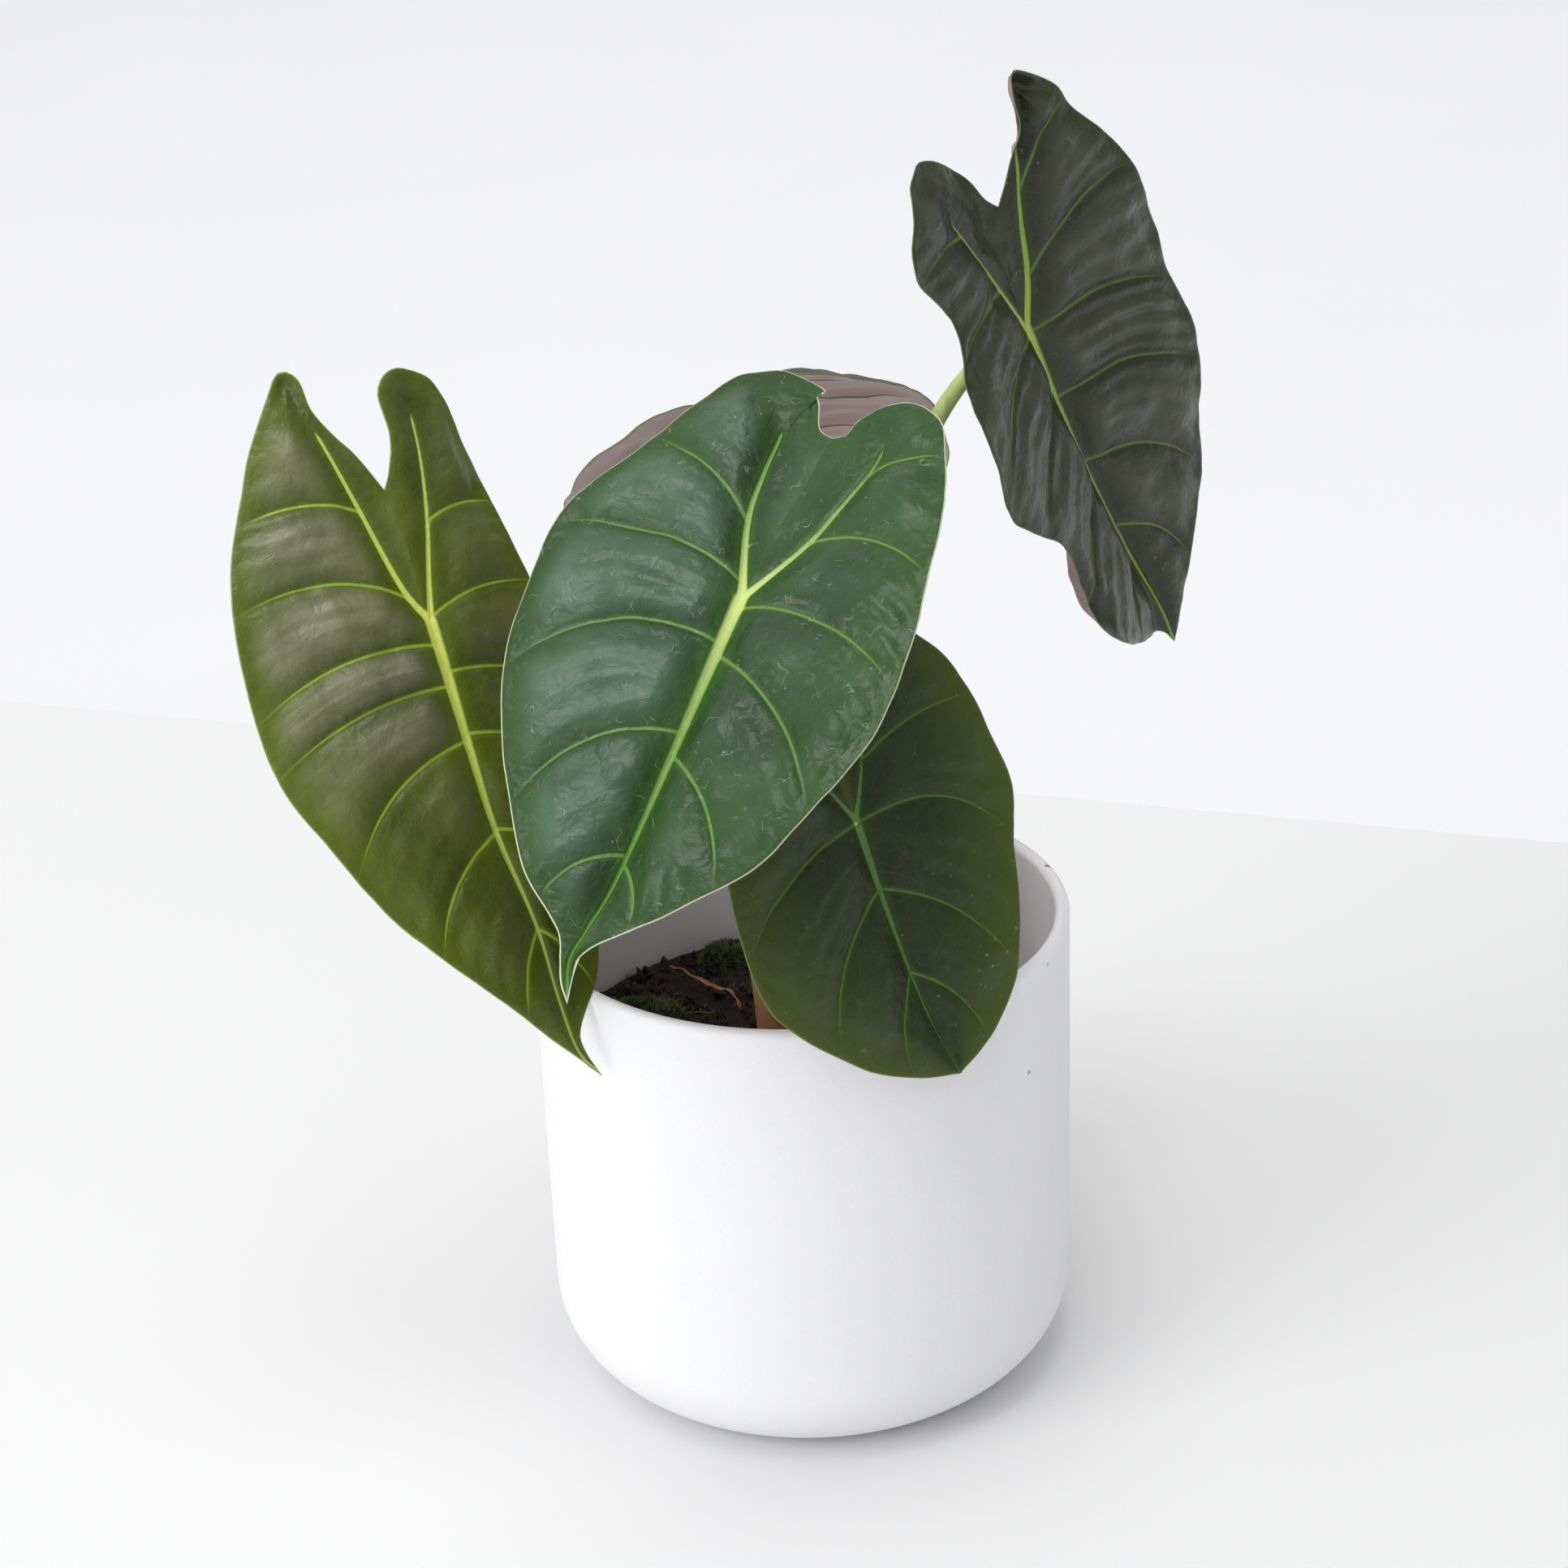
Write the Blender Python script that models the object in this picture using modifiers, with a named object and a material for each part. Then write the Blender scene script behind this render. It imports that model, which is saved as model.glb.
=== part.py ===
"""Potted alocasia: a white ceramic planter, its potting mix and a plant with five arrow-shaped leaves.

Lengths are written in millimetres and turned to metres when a mesh or a curve is made.
The origin is the middle of the planter's underside, +Z is up and -Y is the front.
"""
import bmesh
import bpy
import numpy as np
from mathutils import Vector

MM = 0.001
PART_NAME = "potted_alocasia"
MERGE_DISTANCE = 0.00002
CONTACT_GAP = 0.35

# Planter
POT_RADIUS = 70.0
POT_HEIGHT = 128.8
POT_WALL = 3.8
POT_FLOOR = 5.0
POT_BASE_ROUND = 24.0
POT_STEPS = 48

# Potting mix, root ball and corm
SOIL_LEVEL = 86.0
SOIL_CROWN = 2.0
ROOT_BALL_TOP_RADIUS = 42.0
ROOT_BALL_FOOT_RADIUS = 36.0
ROOT_BALL_FOOT = 30.0
CROWN_POCKET_RADIUS = 19.0
CROWN_POCKET_FLOOR = 60.0
CORM_RADIUS = 13.0
CORM_HEIGHT = 21.0
SOIL_STEPS = 32
PLANT_CENTRE = (2.0, -8.0)

# Leaf stalks
STALK_RING_RADIUS = 10.9
STALK_FOOT = 83.0
STALK_FOOT_RADIUS = 6.0
STALK_END_RADIUS = 1.9
STALK_POINTS = 13
STALK_END_CLEARANCE = 3.6

# Leaf blades
BLADE_THICKNESS = 1.0
BLADE_RIBS = 28
BLADE_STRIPS = 4
CURL_REACH = 50.0
BEND_REACH = 100.0

# Every blade is cut flat first: "across" is to the right and "along" runs from the stalk's joint to the tip.
# The flat shape is then bent.  Angles are in degrees; heading 0 points to the front, +90 to the right.
LEAVES = {
    "leaf_left": {
        "joint": (-87.0, -19.0, 219.0),
        "heading": 42.0, "droop": 62.0, "roll": 10.0,
        "arch_tip": 6.0, "arch_lobes": 8.0, "twist": -4.0,
        "fold": (4.0, -12.0), "curl": (-9.0, -16.0),
        "midrib": [(1, -34), (0, 0), (-2, 30), (-3, 54), (-1, 80), (-2, 109), (3, 120)],
        "margin_left": [(1, -34), (-3, -44), (-6, -50), (-9, -58), (-9, -66), (-13, -69), (-19, -63),
                        (-28, -52), (-33, -44), (-44, -25), (-50, -3), (-51, 24), (-46, 42), (-37, 63),
                        (-26, 81), (-14, 97), (-6, 108), (3, 120)],
        "margin_right": [(1, -34), (4, -38), (8, -47), (9, -57), (15, -62), (23, -61), (29, -54), (31, -38),
                         (32, -22), (34, -2), (37, 18), (37, 42), (31, 63), (22, 81), (10, 97), (3, 104),
                         (0, 110), (3, 120)],
        "stalk_angle": 190.0, "stalk_rise": 112.0, "stalk_reach": 60.0, "stalk_arrival": (-0.35, -0.7, 0.6),
    },
    "leaf_centre": {
        "joint": (-11.0, -56.0, 236.0),
        "heading": -28.0, "droop": 33.0, "roll": 0.0,
        "arch_tip": 8.0, "arch_lobes": 8.0, "twist": -6.0,
        "fold": (16.0, 6.0), "curl": (-7.0, -7.0),
        "midrib": [(2, -48), (0, 0), (0, 44), (-1, 76), (-3, 94), (-1, 107)],
        "margin_left": [(2, -48), (-1, -53), (-5, -61), (-9, -67), (-18, -67), (-26, -62), (-32, -52),
                        (-40, -33), (-49, -11), (-49, 11), (-46, 31), (-38, 52), (-31, 65), (-21, 79),
                        (-11, 89), (-7, 94), (-5, 101), (-1, 107)],
        "margin_right": [(2, -48), (6, -49), (9, -55), (15, -61), (26, -58), (33, -51), (41, -30), (45, -8),
                         (47, 20), (44, 39), (33, 63), (26, 72), (12, 85), (2, 94), (-1, 99), (-1, 107)],
        "stalk_angle": 262.0, "stalk_rise": 80.0, "stalk_reach": 45.0, "stalk_arrival": (-0.1, -0.7, 0.6),
    },
    "leaf_upper": {
        "joint": (64.0, 38.0, 269.0),
        "heading": 134.0, "droop": 60.0, "roll": 60.0,
        "arch_tip": 2.0, "arch_lobes": 7.0, "twist": 0.0,
        "fold": (3.0, 38.0), "curl": (-12.0, -7.0),
        "midrib": [(7, -36), (0, 0), (-1, 23), (-1, 46), (2, 84), (4, 105), (4, 121)],
        "margin_left": [(7, -36), (4, -46), (0, -54), (-8, -64), (-15, -68), (-26, -68), (-37, -63),
                        (-42, -56), (-39, -47), (-36, -37), (-40, -29), (-47, -23), (-51, 0), (-52, 14),
                        (-47, 25), (-38, 40), (-38, 55), (-36, 73), (-27, 89), (-11, 105), (1, 114),
                        (4, 121)],
        "margin_right": [(7, -36), (12, -40), (17, -44), (21, -49), (24, -57), (27, -62), (32, -57),
                         (38, -48), (40, -39), (47, -22), (49, -8), (49, 6), (47, 19), (48, 36), (45, 51),
                         (35, 76), (27, 88), (17, 101), (9, 114), (4, 121)],
        "stalk_angle": 46.0, "stalk_rise": 90.0, "stalk_reach": 40.0, "stalk_arrival": (0.9, 0.25, 0.35),
    },
    "leaf_lower": {
        "joint": (14.0, -62.0, 181.0),
        "heading": 62.0, "droop": 68.0, "roll": 28.0,
        "arch_tip": 8.0, "arch_lobes": 6.0, "twist": 8.0,
        "fold": (8.0, 6.0), "curl": (-8.0, -10.0),
        "midrib": [(0, -24), (0, 0), (-1, 20), (-1, 40), (0, 55), (2, 69)],
        "margin_left": [(0, -24), (-4, -32), (-11, -40), (-20, -42), (-29, -36), (-35, -22), (-39, -4),
                        (-41, 12), (-40, 28), (-35, 39), (-26, 51), (-19, 58), (-8, 65), (2, 69)],
        "margin_right": [(0, -24), (4, -33), (12, -41), (22, -43), (30, -38), (35, -32), (39, -25),
                         (41, -16), (42, -5), (43, 6), (41, 15), (36, 26), (28, 44), (22, 54), (13, 61),
                         (2, 69)],
        "stalk_angle": 334.0, "stalk_rise": 62.0, "stalk_reach": 38.0, "stalk_arrival": (0.1, -0.85, 0.35),
    },
    "leaf_back": {
        "joint": (-9.0, 58.0, 238.0),
        "heading": 160.0, "droop": 37.0, "roll": -20.0,
        "arch_tip": 14.0, "arch_lobes": 38.0, "twist": 0.0,
        "fold": (8.0, -16.0), "curl": (-32.0, -2.0),
        "midrib": [(0, -34), (0, 0), (0, 50), (0, 100), (1, 112)],
        "margin_left": [(0, -34), (-5, -44), (-11, -54), (-20, -58), (-31, -54), (-41, -40), (-49, -20),
                        (-52, 0), (-50, 22), (-43, 45), (-31, 68), (-17, 88), (-6, 101), (1, 112)],
        "margin_right": [(0, -34), (5, -45), (12, -56), (22, -60), (33, -54), (43, -38), (50, -18), (53, 2),
                         (50, 24), (43, 47), (32, 68), (18, 88), (7, 101), (1, 112)],
        "stalk_angle": 118.0, "stalk_rise": 80.0, "stalk_reach": 45.0, "stalk_arrival": (-0.05, 0.8, 0.45),
    },
}

# Moss cushions: bearing and distance from the planter's axis, radius and height
MOSS_CLUMPS = [(205.0, 47.0, 12.0, 5.0), (165.0, 46.0, 13.0, 6.0), (112.0, 52.0, 8.5, 4.5),
               (88.0, 50.0, 12.0, 5.5), (48.0, 50.0, 10.0, 4.0)]
MOSS_STEPS = 14

# Dry sheath: a papery strand that lies on the mix and leans on the stalks
SHEATH_ROUTE = [(-36.5, 40.6, 91.0), (-31.5, 33.5, 92.2), (-25.5, 27.0, 91.6), (-19.5, 18.5, 93.2),
                (-16.8, 7.5, 94.4)]
SHEATH_WIDTHS = (1.2, 1.8, 2.4, 3.6)
SHEATH_THICKNESS = 0.6
SHEATH_SPANS = 10

COLOURS = {
    "planter_ceramic": ((0.86, 0.86, 0.88), 0.55),
    "potting_mix": ((0.035, 0.024, 0.016), 0.95),
    "root_ball": ((0.11, 0.07, 0.04), 0.9),
    "corm_skin": ((0.14, 0.07, 0.035), 0.7),
    "moss": ((0.05, 0.11, 0.02), 0.95),
    "dry_sheath": ((0.35, 0.15, 0.06), 0.7),
    "stalk_green": ((0.33, 0.48, 0.13), 0.4),
    "blade_olive": ((0.07, 0.12, 0.03), 0.35),
    "blade_green": ((0.03, 0.11, 0.05), 0.35),
    "blade_dark": ((0.035, 0.06, 0.04), 0.3),
}
BLADE_MATERIALS = {
    "leaf_left": "blade_olive", "leaf_centre": "blade_green", "leaf_upper": "blade_dark",
    "leaf_lower": "blade_olive", "leaf_back": "blade_dark",
}


def clear_scene():
    for obj in list(bpy.data.objects):
        bpy.data.objects.remove(obj, do_unlink=True)


def make_collection(name):
    collection = bpy.data.collections.new(name)
    bpy.context.scene.collection.children.link(collection)
    return collection


def make_material(name):
    colour, roughness = COLOURS[name]
    material = bpy.data.materials.get(name) or bpy.data.materials.new(name)
    material.use_nodes = True
    shader = material.node_tree.nodes["Principled BSDF"]
    shader.inputs["Base Color"].default_value = (*colour, 1.0)
    shader.inputs["Roughness"].default_value = roughness
    shader.inputs["Metallic"].default_value = 0.0
    return material


def add_mesh_object(name, mesh, material, collection):
    mesh.materials.append(make_material(material))
    obj = bpy.data.objects.new(name, mesh)
    collection.objects.link(obj)
    return obj


def arc_points(centre, radius, start, end, count):
    """Points of a circular arc in the (radius, height) plane, with angles in degrees."""
    angles = np.radians(np.linspace(start, end, count))
    return [(centre[0] + radius * np.cos(a), centre[1] + radius * np.sin(a)) for a in angles]


def add_turned(name, profile, steps, material, collection, place=(0.0, 0.0, 0.0)):
    """Turn a (radius, height) profile about Z; it starts on the axis and runs down its outer side."""
    vertices = [(radius * MM, 0.0, height * MM) for radius, height in profile]
    edges = [(i, i + 1) for i in range(len(vertices) - 1)]
    mesh = bpy.data.meshes.new(name)
    mesh.from_pydata(vertices, edges, [])
    obj = add_mesh_object(name, mesh, material, collection)
    obj.location = Vector(place) * MM
    screw = obj.modifiers.new("turn", "SCREW")
    screw.axis = "Z"
    screw.angle = 2.0 * np.pi
    screw.steps = steps
    screw.render_steps = steps
    screw.use_merge_vertices = True
    screw.merge_threshold = MERGE_DISTANCE
    screw.use_smooth_shade = True
    return obj


def smooth_path(points, count):
    """A Catmull-Rom curve through the points, resampled at even steps of its length."""
    points = np.asarray(points, float)
    padded = np.vstack([2 * points[0] - points[1], points, 2 * points[-1] - points[-2]])
    steps = np.linspace(0.0, 1.0, 12, endpoint=False)[:, None]
    spans = []
    for a, b, c, d in zip(padded[:-3], padded[1:-2], padded[2:-1], padded[3:]):
        spans.append(0.5 * (2 * b + (c - a) * steps + (2 * a - 5 * b + 4 * c - d) * steps ** 2
                            + (3 * b - a - 3 * c + d) * steps ** 3))
    dense = np.vstack(spans + [points[-1:]])
    lengths = np.concatenate([[0.0], np.cumsum(np.linalg.norm(np.diff(dense, axis=0), axis=1))])
    wanted = np.linspace(0.0, lengths[-1], count)
    return np.column_stack([np.interp(wanted, lengths, dense[:, axis]) for axis in range(dense.shape[1])])


def leaf_axes(leaf):
    """Unit directions of a leaf at its joint: to the tip, to the right, and out of its upper face."""
    heading, droop, roll = np.radians([leaf["heading"], leaf["droop"], leaf["roll"]])
    tipward = np.array([np.sin(heading) * np.cos(droop), -np.cos(heading) * np.cos(droop), -np.sin(droop)])
    level = np.array([np.cos(heading), np.sin(heading), 0.0])
    across = np.cos(roll) * level + np.sin(roll) * np.cross(tipward, level)
    return tipward, across, np.cross(tipward, across)


def arc_offset(curvature, length):
    """How far an arc goes forwards and sideways over its length."""
    curvature = np.where(np.abs(curvature) < 1e-6, 1e-6, curvature)
    return np.sin(curvature * length) / curvature, (1.0 - np.cos(curvature * length)) / curvature


def bend_blade(leaf, flat):
    """Carry flat (across, along) points to their places in space.

    The midrib is an arc, the blade twists about it, and each half leaves it at its fold angle and curls.
    """
    across, along = flat[:, 0], flat[:, 1]
    tipward, sideways, outward = leaf_axes(leaf)
    curvature = np.radians(np.where(along > 0, leaf["arch_tip"], leaf["arch_lobes"])) / BEND_REACH
    forward, sag = arc_offset(curvature, along)
    turn = (curvature * along)[:, None]
    normal = np.cos(turn) * outward + np.sin(turn) * tipward
    spine = np.array(leaf["joint"]) + forward[:, None] * tipward - sag[:, None] * outward
    twist = np.radians(leaf["twist"] * along / BEND_REACH)[:, None]
    right = np.cos(twist) * sideways + np.sin(twist) * normal
    raised = np.cos(twist) * normal - np.sin(twist) * sideways
    fold = np.radians(np.where(across < 0, leaf["fold"][0], leaf["fold"][1]))
    curl = np.radians(np.where(across < 0, leaf["curl"][0], leaf["curl"][1])) / CURL_REACH
    distance = np.abs(across)
    reach = (np.sin(fold + curl * distance) - np.sin(fold)) / curl
    lift = (np.cos(fold) - np.cos(fold + curl * distance)) / curl
    return spine + (np.sign(across) * reach)[:, None] * right + lift[:, None] * raised


def add_blade(name, leaf, collection):
    """Lay ribs from the midrib out to the margin on both halves, bend the sheet and thicken it."""
    spacing = np.linspace(0.0, 1.0, BLADE_RIBS + 1)
    midrib_path = smooth_path(leaf["midrib"], 121)
    fractions = np.linspace(0.0, 1.0, 121)
    rib_start = spacing ** 1.25
    spine = np.column_stack([np.interp(rib_start, fractions, midrib_path[:, axis]) for axis in (0, 1)])
    strips = np.linspace(0.0, 1.0, BLADE_STRIPS + 1)[1:]

    mesh = bpy.data.meshes.new(name)
    sheet = bmesh.new()
    spine_row = [sheet.verts.new(point * MM) for point in bend_blade(leaf, spine)]
    for side in ("margin_left", "margin_right"):
        margin = smooth_path(leaf[side], BLADE_RIBS + 1)
        rows = [spine_row]
        for strip in strips:
            places = bend_blade(leaf, spine + (margin - spine) * strip)
            inner = [sheet.verts.new(point * MM) for point in places[1:-1]]
            rows.append([spine_row[0]] + inner + [spine_row[-1]])
        for low, high in zip(rows[:-1], rows[1:]):
            for i in range(BLADE_RIBS):
                corners = [low[i], low[i + 1], high[i + 1], high[i]]
                corners = list(dict.fromkeys(corners))
                if len(corners) < 3:
                    continue
                if side == "margin_right":
                    corners.reverse()
                sheet.faces.new(corners)
    sheet.to_mesh(mesh)
    sheet.free()
    mesh.shade_smooth()
    obj = add_mesh_object(name, mesh, BLADE_MATERIALS[name.removesuffix("_blade")], collection)
    shell = obj.modifiers.new("thickness", "SOLIDIFY")
    shell.thickness = BLADE_THICKNESS * MM
    shell.offset = 0.0
    return obj


def stalk_route(leaf):
    """A Bezier from the stalk's foot, first upwards and then into the joint on the blade's underside."""
    bearing = np.radians(leaf["stalk_angle"])
    out = np.array([np.cos(bearing), np.sin(bearing), 0.0])
    foot = np.array([*PLANT_CENTRE, STALK_FOOT]) + STALK_RING_RADIUS * out
    arrival = np.array(leaf["stalk_arrival"]) / np.linalg.norm(leaf["stalk_arrival"])
    end = np.array(leaf["joint"]) - STALK_END_CLEARANCE * leaf_axes(leaf)[2]
    first = foot + leaf["stalk_rise"] * np.array([0.0, 0.0, 1.0])
    last = end - leaf["stalk_reach"] * arrival
    t = np.linspace(0.0, 1.0, STALK_POINTS)[:, None]
    return (1 - t) ** 3 * foot + 3 * (1 - t) ** 2 * t * first + 3 * (1 - t) * t ** 2 * last + t ** 3 * end


def add_stalk(name, leaf, collection):
    route = stalk_route(leaf)
    curve = bpy.data.curves.new(name, "CURVE")
    curve.dimensions = "3D"
    curve.bevel_depth = MM
    curve.bevel_resolution = 3
    curve.use_fill_caps = True
    spline = curve.splines.new("POLY")
    spline.points.add(len(route) - 1)
    fractions = np.linspace(0.0, 1.0, len(route))
    radii = STALK_END_RADIUS + (STALK_FOOT_RADIUS - STALK_END_RADIUS) * (1.0 - fractions) ** 1.6
    for point, place, radius in zip(spline.points, route, radii):
        point.co = (*(place * MM), 1.0)
        point.radius = radius
    curve.materials.append(make_material("stalk_green"))
    obj = bpy.data.objects.new(name, curve)
    collection.objects.link(obj)
    return obj


def add_pot(collection):
    """A straight cylinder with a round foot and a fully rounded lip."""
    inner = POT_RADIUS - POT_WALL
    lip = POT_WALL / 2.0
    inner_round = POT_BASE_ROUND - POT_WALL
    profile = [(0.0, POT_FLOOR)]
    profile += arc_points((inner - inner_round, POT_FLOOR + inner_round), inner_round, -90.0, 0.0, 7)
    profile += arc_points((inner + lip, POT_HEIGHT - lip), lip, 180.0, 0.0, 7)
    profile += arc_points((POT_RADIUS - POT_BASE_ROUND, POT_BASE_ROUND), POT_BASE_ROUND, 0.0, -90.0, 9)
    profile += [(0.0, 0.0)]
    return add_turned("pot", profile, POT_STEPS, "planter_ceramic", collection)


def add_soil(collection, cutters):
    """The potting mix fills the planter round the root ball, whose crown has a pocket for the corm."""
    wall = POT_RADIUS - POT_WALL - CONTACT_GAP
    foot = POT_FLOOR + CONTACT_GAP
    foot_round = POT_BASE_ROUND - POT_WALL
    crown = SOIL_LEVEL + SOIL_CROWN
    centre = (*PLANT_CENTRE, 0.0)

    mix = [(0.0, crown), (wall - 8.0, crown), (wall, SOIL_LEVEL)]
    mix += arc_points((wall - foot_round, foot + foot_round), foot_round, 0.0, -90.0, 6)
    mix += [(0.0, foot)]
    potting_mix = add_turned("potting_mix", mix, SOIL_STEPS, "potting_mix", collection)

    socket = [(0.0, crown + 10.0), (ROOT_BALL_TOP_RADIUS + CONTACT_GAP, crown + 10.0),
              (ROOT_BALL_TOP_RADIUS + CONTACT_GAP, crown),
              (ROOT_BALL_FOOT_RADIUS + CONTACT_GAP, ROOT_BALL_FOOT - CONTACT_GAP),
              (0.0, ROOT_BALL_FOOT - CONTACT_GAP)]
    cutter = add_turned("root_ball_socket", socket, SOIL_STEPS, "root_ball", cutters, centre)
    cutter.hide_render = True
    cutter.display_type = "WIRE"
    hollow = potting_mix.modifiers.new("root ball socket", "BOOLEAN")
    hollow.operation = "DIFFERENCE"
    hollow.object = cutter

    ball = [(0.0, CROWN_POCKET_FLOOR), (CROWN_POCKET_RADIUS - 3.0, CROWN_POCKET_FLOOR),
            (CROWN_POCKET_RADIUS, CROWN_POCKET_FLOOR + 3.0), (CROWN_POCKET_RADIUS, crown),
            (ROOT_BALL_TOP_RADIUS, crown), (ROOT_BALL_FOOT_RADIUS, ROOT_BALL_FOOT), (0.0, ROOT_BALL_FOOT)]
    add_turned("root_ball", ball, SOIL_STEPS, "root_ball", collection, centre)


def add_corm(collection):
    """An egg-shaped corm, standing on the floor of the pocket under the stalks."""
    fractions = np.linspace(0.0, 1.0, 8)
    profile = [(CORM_RADIUS * np.sin(np.pi * f) ** 0.8, CORM_HEIGHT * (1.0 - f)) for f in fractions]
    profile[0] = (0.0, CORM_HEIGHT)
    profile[-1] = (0.0, 0.0)
    foot = CROWN_POCKET_FLOOR + CONTACT_GAP
    return add_turned("corm", profile, 16, "corm_skin", collection, (*PLANT_CENTRE, foot))


def add_moss(collection):
    for number, (bearing, distance, radius, height) in enumerate(MOSS_CLUMPS, start=1):
        profile = [(radius * np.sin(a), height * np.cos(a)) for a in np.linspace(0.0, np.pi / 2.0, 5)]
        profile[0] = (0.0, height)
        profile += [(0.0, 0.0)]
        angle = np.radians(bearing)
        place = (distance * np.cos(angle), distance * np.sin(angle), SOIL_LEVEL + SOIL_CROWN + CONTACT_GAP)
        add_turned(f"moss_clump_{number}", profile, MOSS_STEPS, "moss", collection, place)


def add_sheath(collection):
    """A ribbon along its route, wider towards the stalks, with a slight twist."""
    route = smooth_path(SHEATH_ROUTE, SHEATH_SPANS + 1)
    widths = np.interp(np.linspace(0, 3, SHEATH_SPANS + 1), range(4), SHEATH_WIDTHS)
    headings = np.gradient(route, axis=0)
    sides = np.cross(headings, (0.0, 0.0, 1.0))
    sides /= np.linalg.norm(sides, axis=1)[:, None]
    tilt = np.radians(np.linspace(10.0, 55.0, SHEATH_SPANS + 1))[:, None]
    sides = np.cos(tilt) * sides + np.sin(tilt) * np.array([0.0, 0.0, 1.0])
    left = (route - sides * widths[:, None] / 2.0) * MM
    right = (route + sides * widths[:, None] / 2.0) * MM
    vertices = [tuple(point) for point in np.vstack([left, right])]
    count = SHEATH_SPANS + 1
    faces = [(i, i + count, i + count + 1, i + 1) for i in range(SHEATH_SPANS)]
    mesh = bpy.data.meshes.new("dry_sheath")
    mesh.from_pydata(vertices, [], faces)
    obj = add_mesh_object("dry_sheath", mesh, "dry_sheath", collection)
    shell = obj.modifiers.new("thickness", "SOLIDIFY")
    shell.thickness = SHEATH_THICKNESS * MM
    shell.offset = 0.0
    return obj


def main():
    clear_scene()
    parts = make_collection(PART_NAME)
    cutters = make_collection("cutters")
    add_pot(parts)
    add_soil(parts, cutters)
    add_corm(parts)
    add_moss(parts)
    add_sheath(parts)
    for name, leaf in LEAVES.items():
        add_stalk(f"{name}_stalk", leaf, parts)
        add_blade(f"{name}_blade", leaf, parts)


main()
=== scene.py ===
import bpy
import numpy as np
from mathutils import Matrix, Vector


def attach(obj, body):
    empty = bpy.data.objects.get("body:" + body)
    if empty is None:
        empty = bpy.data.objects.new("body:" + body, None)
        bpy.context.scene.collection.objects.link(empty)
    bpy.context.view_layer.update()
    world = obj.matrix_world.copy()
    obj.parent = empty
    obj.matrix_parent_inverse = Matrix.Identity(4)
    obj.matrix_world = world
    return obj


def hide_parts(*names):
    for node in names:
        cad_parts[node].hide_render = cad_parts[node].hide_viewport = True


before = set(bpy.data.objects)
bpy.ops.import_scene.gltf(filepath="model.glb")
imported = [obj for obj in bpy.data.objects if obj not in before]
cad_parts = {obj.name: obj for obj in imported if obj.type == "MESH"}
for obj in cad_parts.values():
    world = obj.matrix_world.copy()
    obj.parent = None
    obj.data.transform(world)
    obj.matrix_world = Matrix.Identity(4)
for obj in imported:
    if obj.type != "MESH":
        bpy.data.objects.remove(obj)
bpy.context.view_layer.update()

# A potted alocasia: five waxy arrow-shaped leaves on fleshy stalks, in a matt white ceramic planter.
# Sizes are millimetres here and become metres in buildPiece.  -Y is the front, +X the viewer's right.
mm = 0.001
rng = np.random.default_rng(7)


def softNoise(points, cell, seed=0.0):
    # random values at the corners of a grid of cells, eased between them with 3f^2 - 2f^3; runs from -1 to 1
    place = np.asarray(points, float) / cell
    base = np.floor(place)
    ease = (place - base) ** 2 * (3.0 - 2.0 * (place - base))
    total = np.zeros(len(place))
    for corner in np.ndindex(*(2,) * place.shape[1]):
        spot = base + corner
        value = np.sin(spot @ np.array([127.1, 311.7, 74.7])[:place.shape[1]] + seed * 17.3) * 43758.5453
        weight = np.prod(np.where(np.array(corner) == 1, ease, 1.0 - ease), axis=1)
        total += weight * (value - np.floor(value))
    return 2.0 * total - 1.0


def easeStep(value, low, high):
    # 0 below low, 1 above high, 3x^2 - 2x^3 between them
    x = np.clip((value - low) / (high - low), 0.0, 1.0)
    return x * x * (3.0 - 2.0 * x)


def unit(vectors):
    return vectors / np.maximum(np.linalg.norm(vectors, axis=-1, keepdims=True), 1e-12)


def smoothPath(points, count):
    # Catmull-Rom curve through the points, resampled at even steps of its length
    points = np.asarray(points, float)
    padded = np.vstack([2 * points[0] - points[1], points, 2 * points[-1] - points[-2]])
    steps = np.linspace(0.0, 1.0, 12, endpoint=False)[:, None]
    spans = [0.5 * (2 * b + (c - a) * steps + (2 * a - 5 * b + 4 * c - d) * steps ** 2
                    + (3 * b - a - 3 * c + d) * steps ** 3)
             for a, b, c, d in zip(padded[:-3], padded[1:-2], padded[2:-1], padded[3:])]
    dense = np.vstack(spans + [points[-1:]])
    return pathAt(dense, np.linspace(0.0, 1.0, count))


def pathAt(path, shares):
    # points at these shares of the path's length
    lengths = np.concatenate([[0.0], np.cumsum(np.linalg.norm(np.diff(path, axis=0), axis=1))])
    wanted = np.asarray(shares) * lengths[-1]
    return np.column_stack([np.interp(wanted, lengths, path[:, axis]) for axis in range(path.shape[1])])


def nearestShare(path, point):
    # share of the path's length at its point nearest to the given one
    lengths = np.concatenate([[0.0], np.cumsum(np.linalg.norm(np.diff(path, axis=0), axis=1))])
    return lengths[np.argmin(np.linalg.norm(path - point, axis=1))] / lengths[-1]


def distanceTo(points, path):
    # shortest distance of each point to the straight spans of a path
    a, b = path[:-1], path[1:]
    span = b - a
    nearest = []
    for part in np.array_split(points, max(1, len(points) * len(a) // 1500000)):
        along = np.einsum("pik,ik->pi", part[:, None] - a, span) / np.maximum((span ** 2).sum(1), 1e-12)
        foot = a + np.clip(along, 0.0, 1.0)[..., None] * span
        nearest.append(np.linalg.norm(part[:, None] - foot, axis=2).min(axis=1))
    return np.concatenate(nearest)


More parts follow.
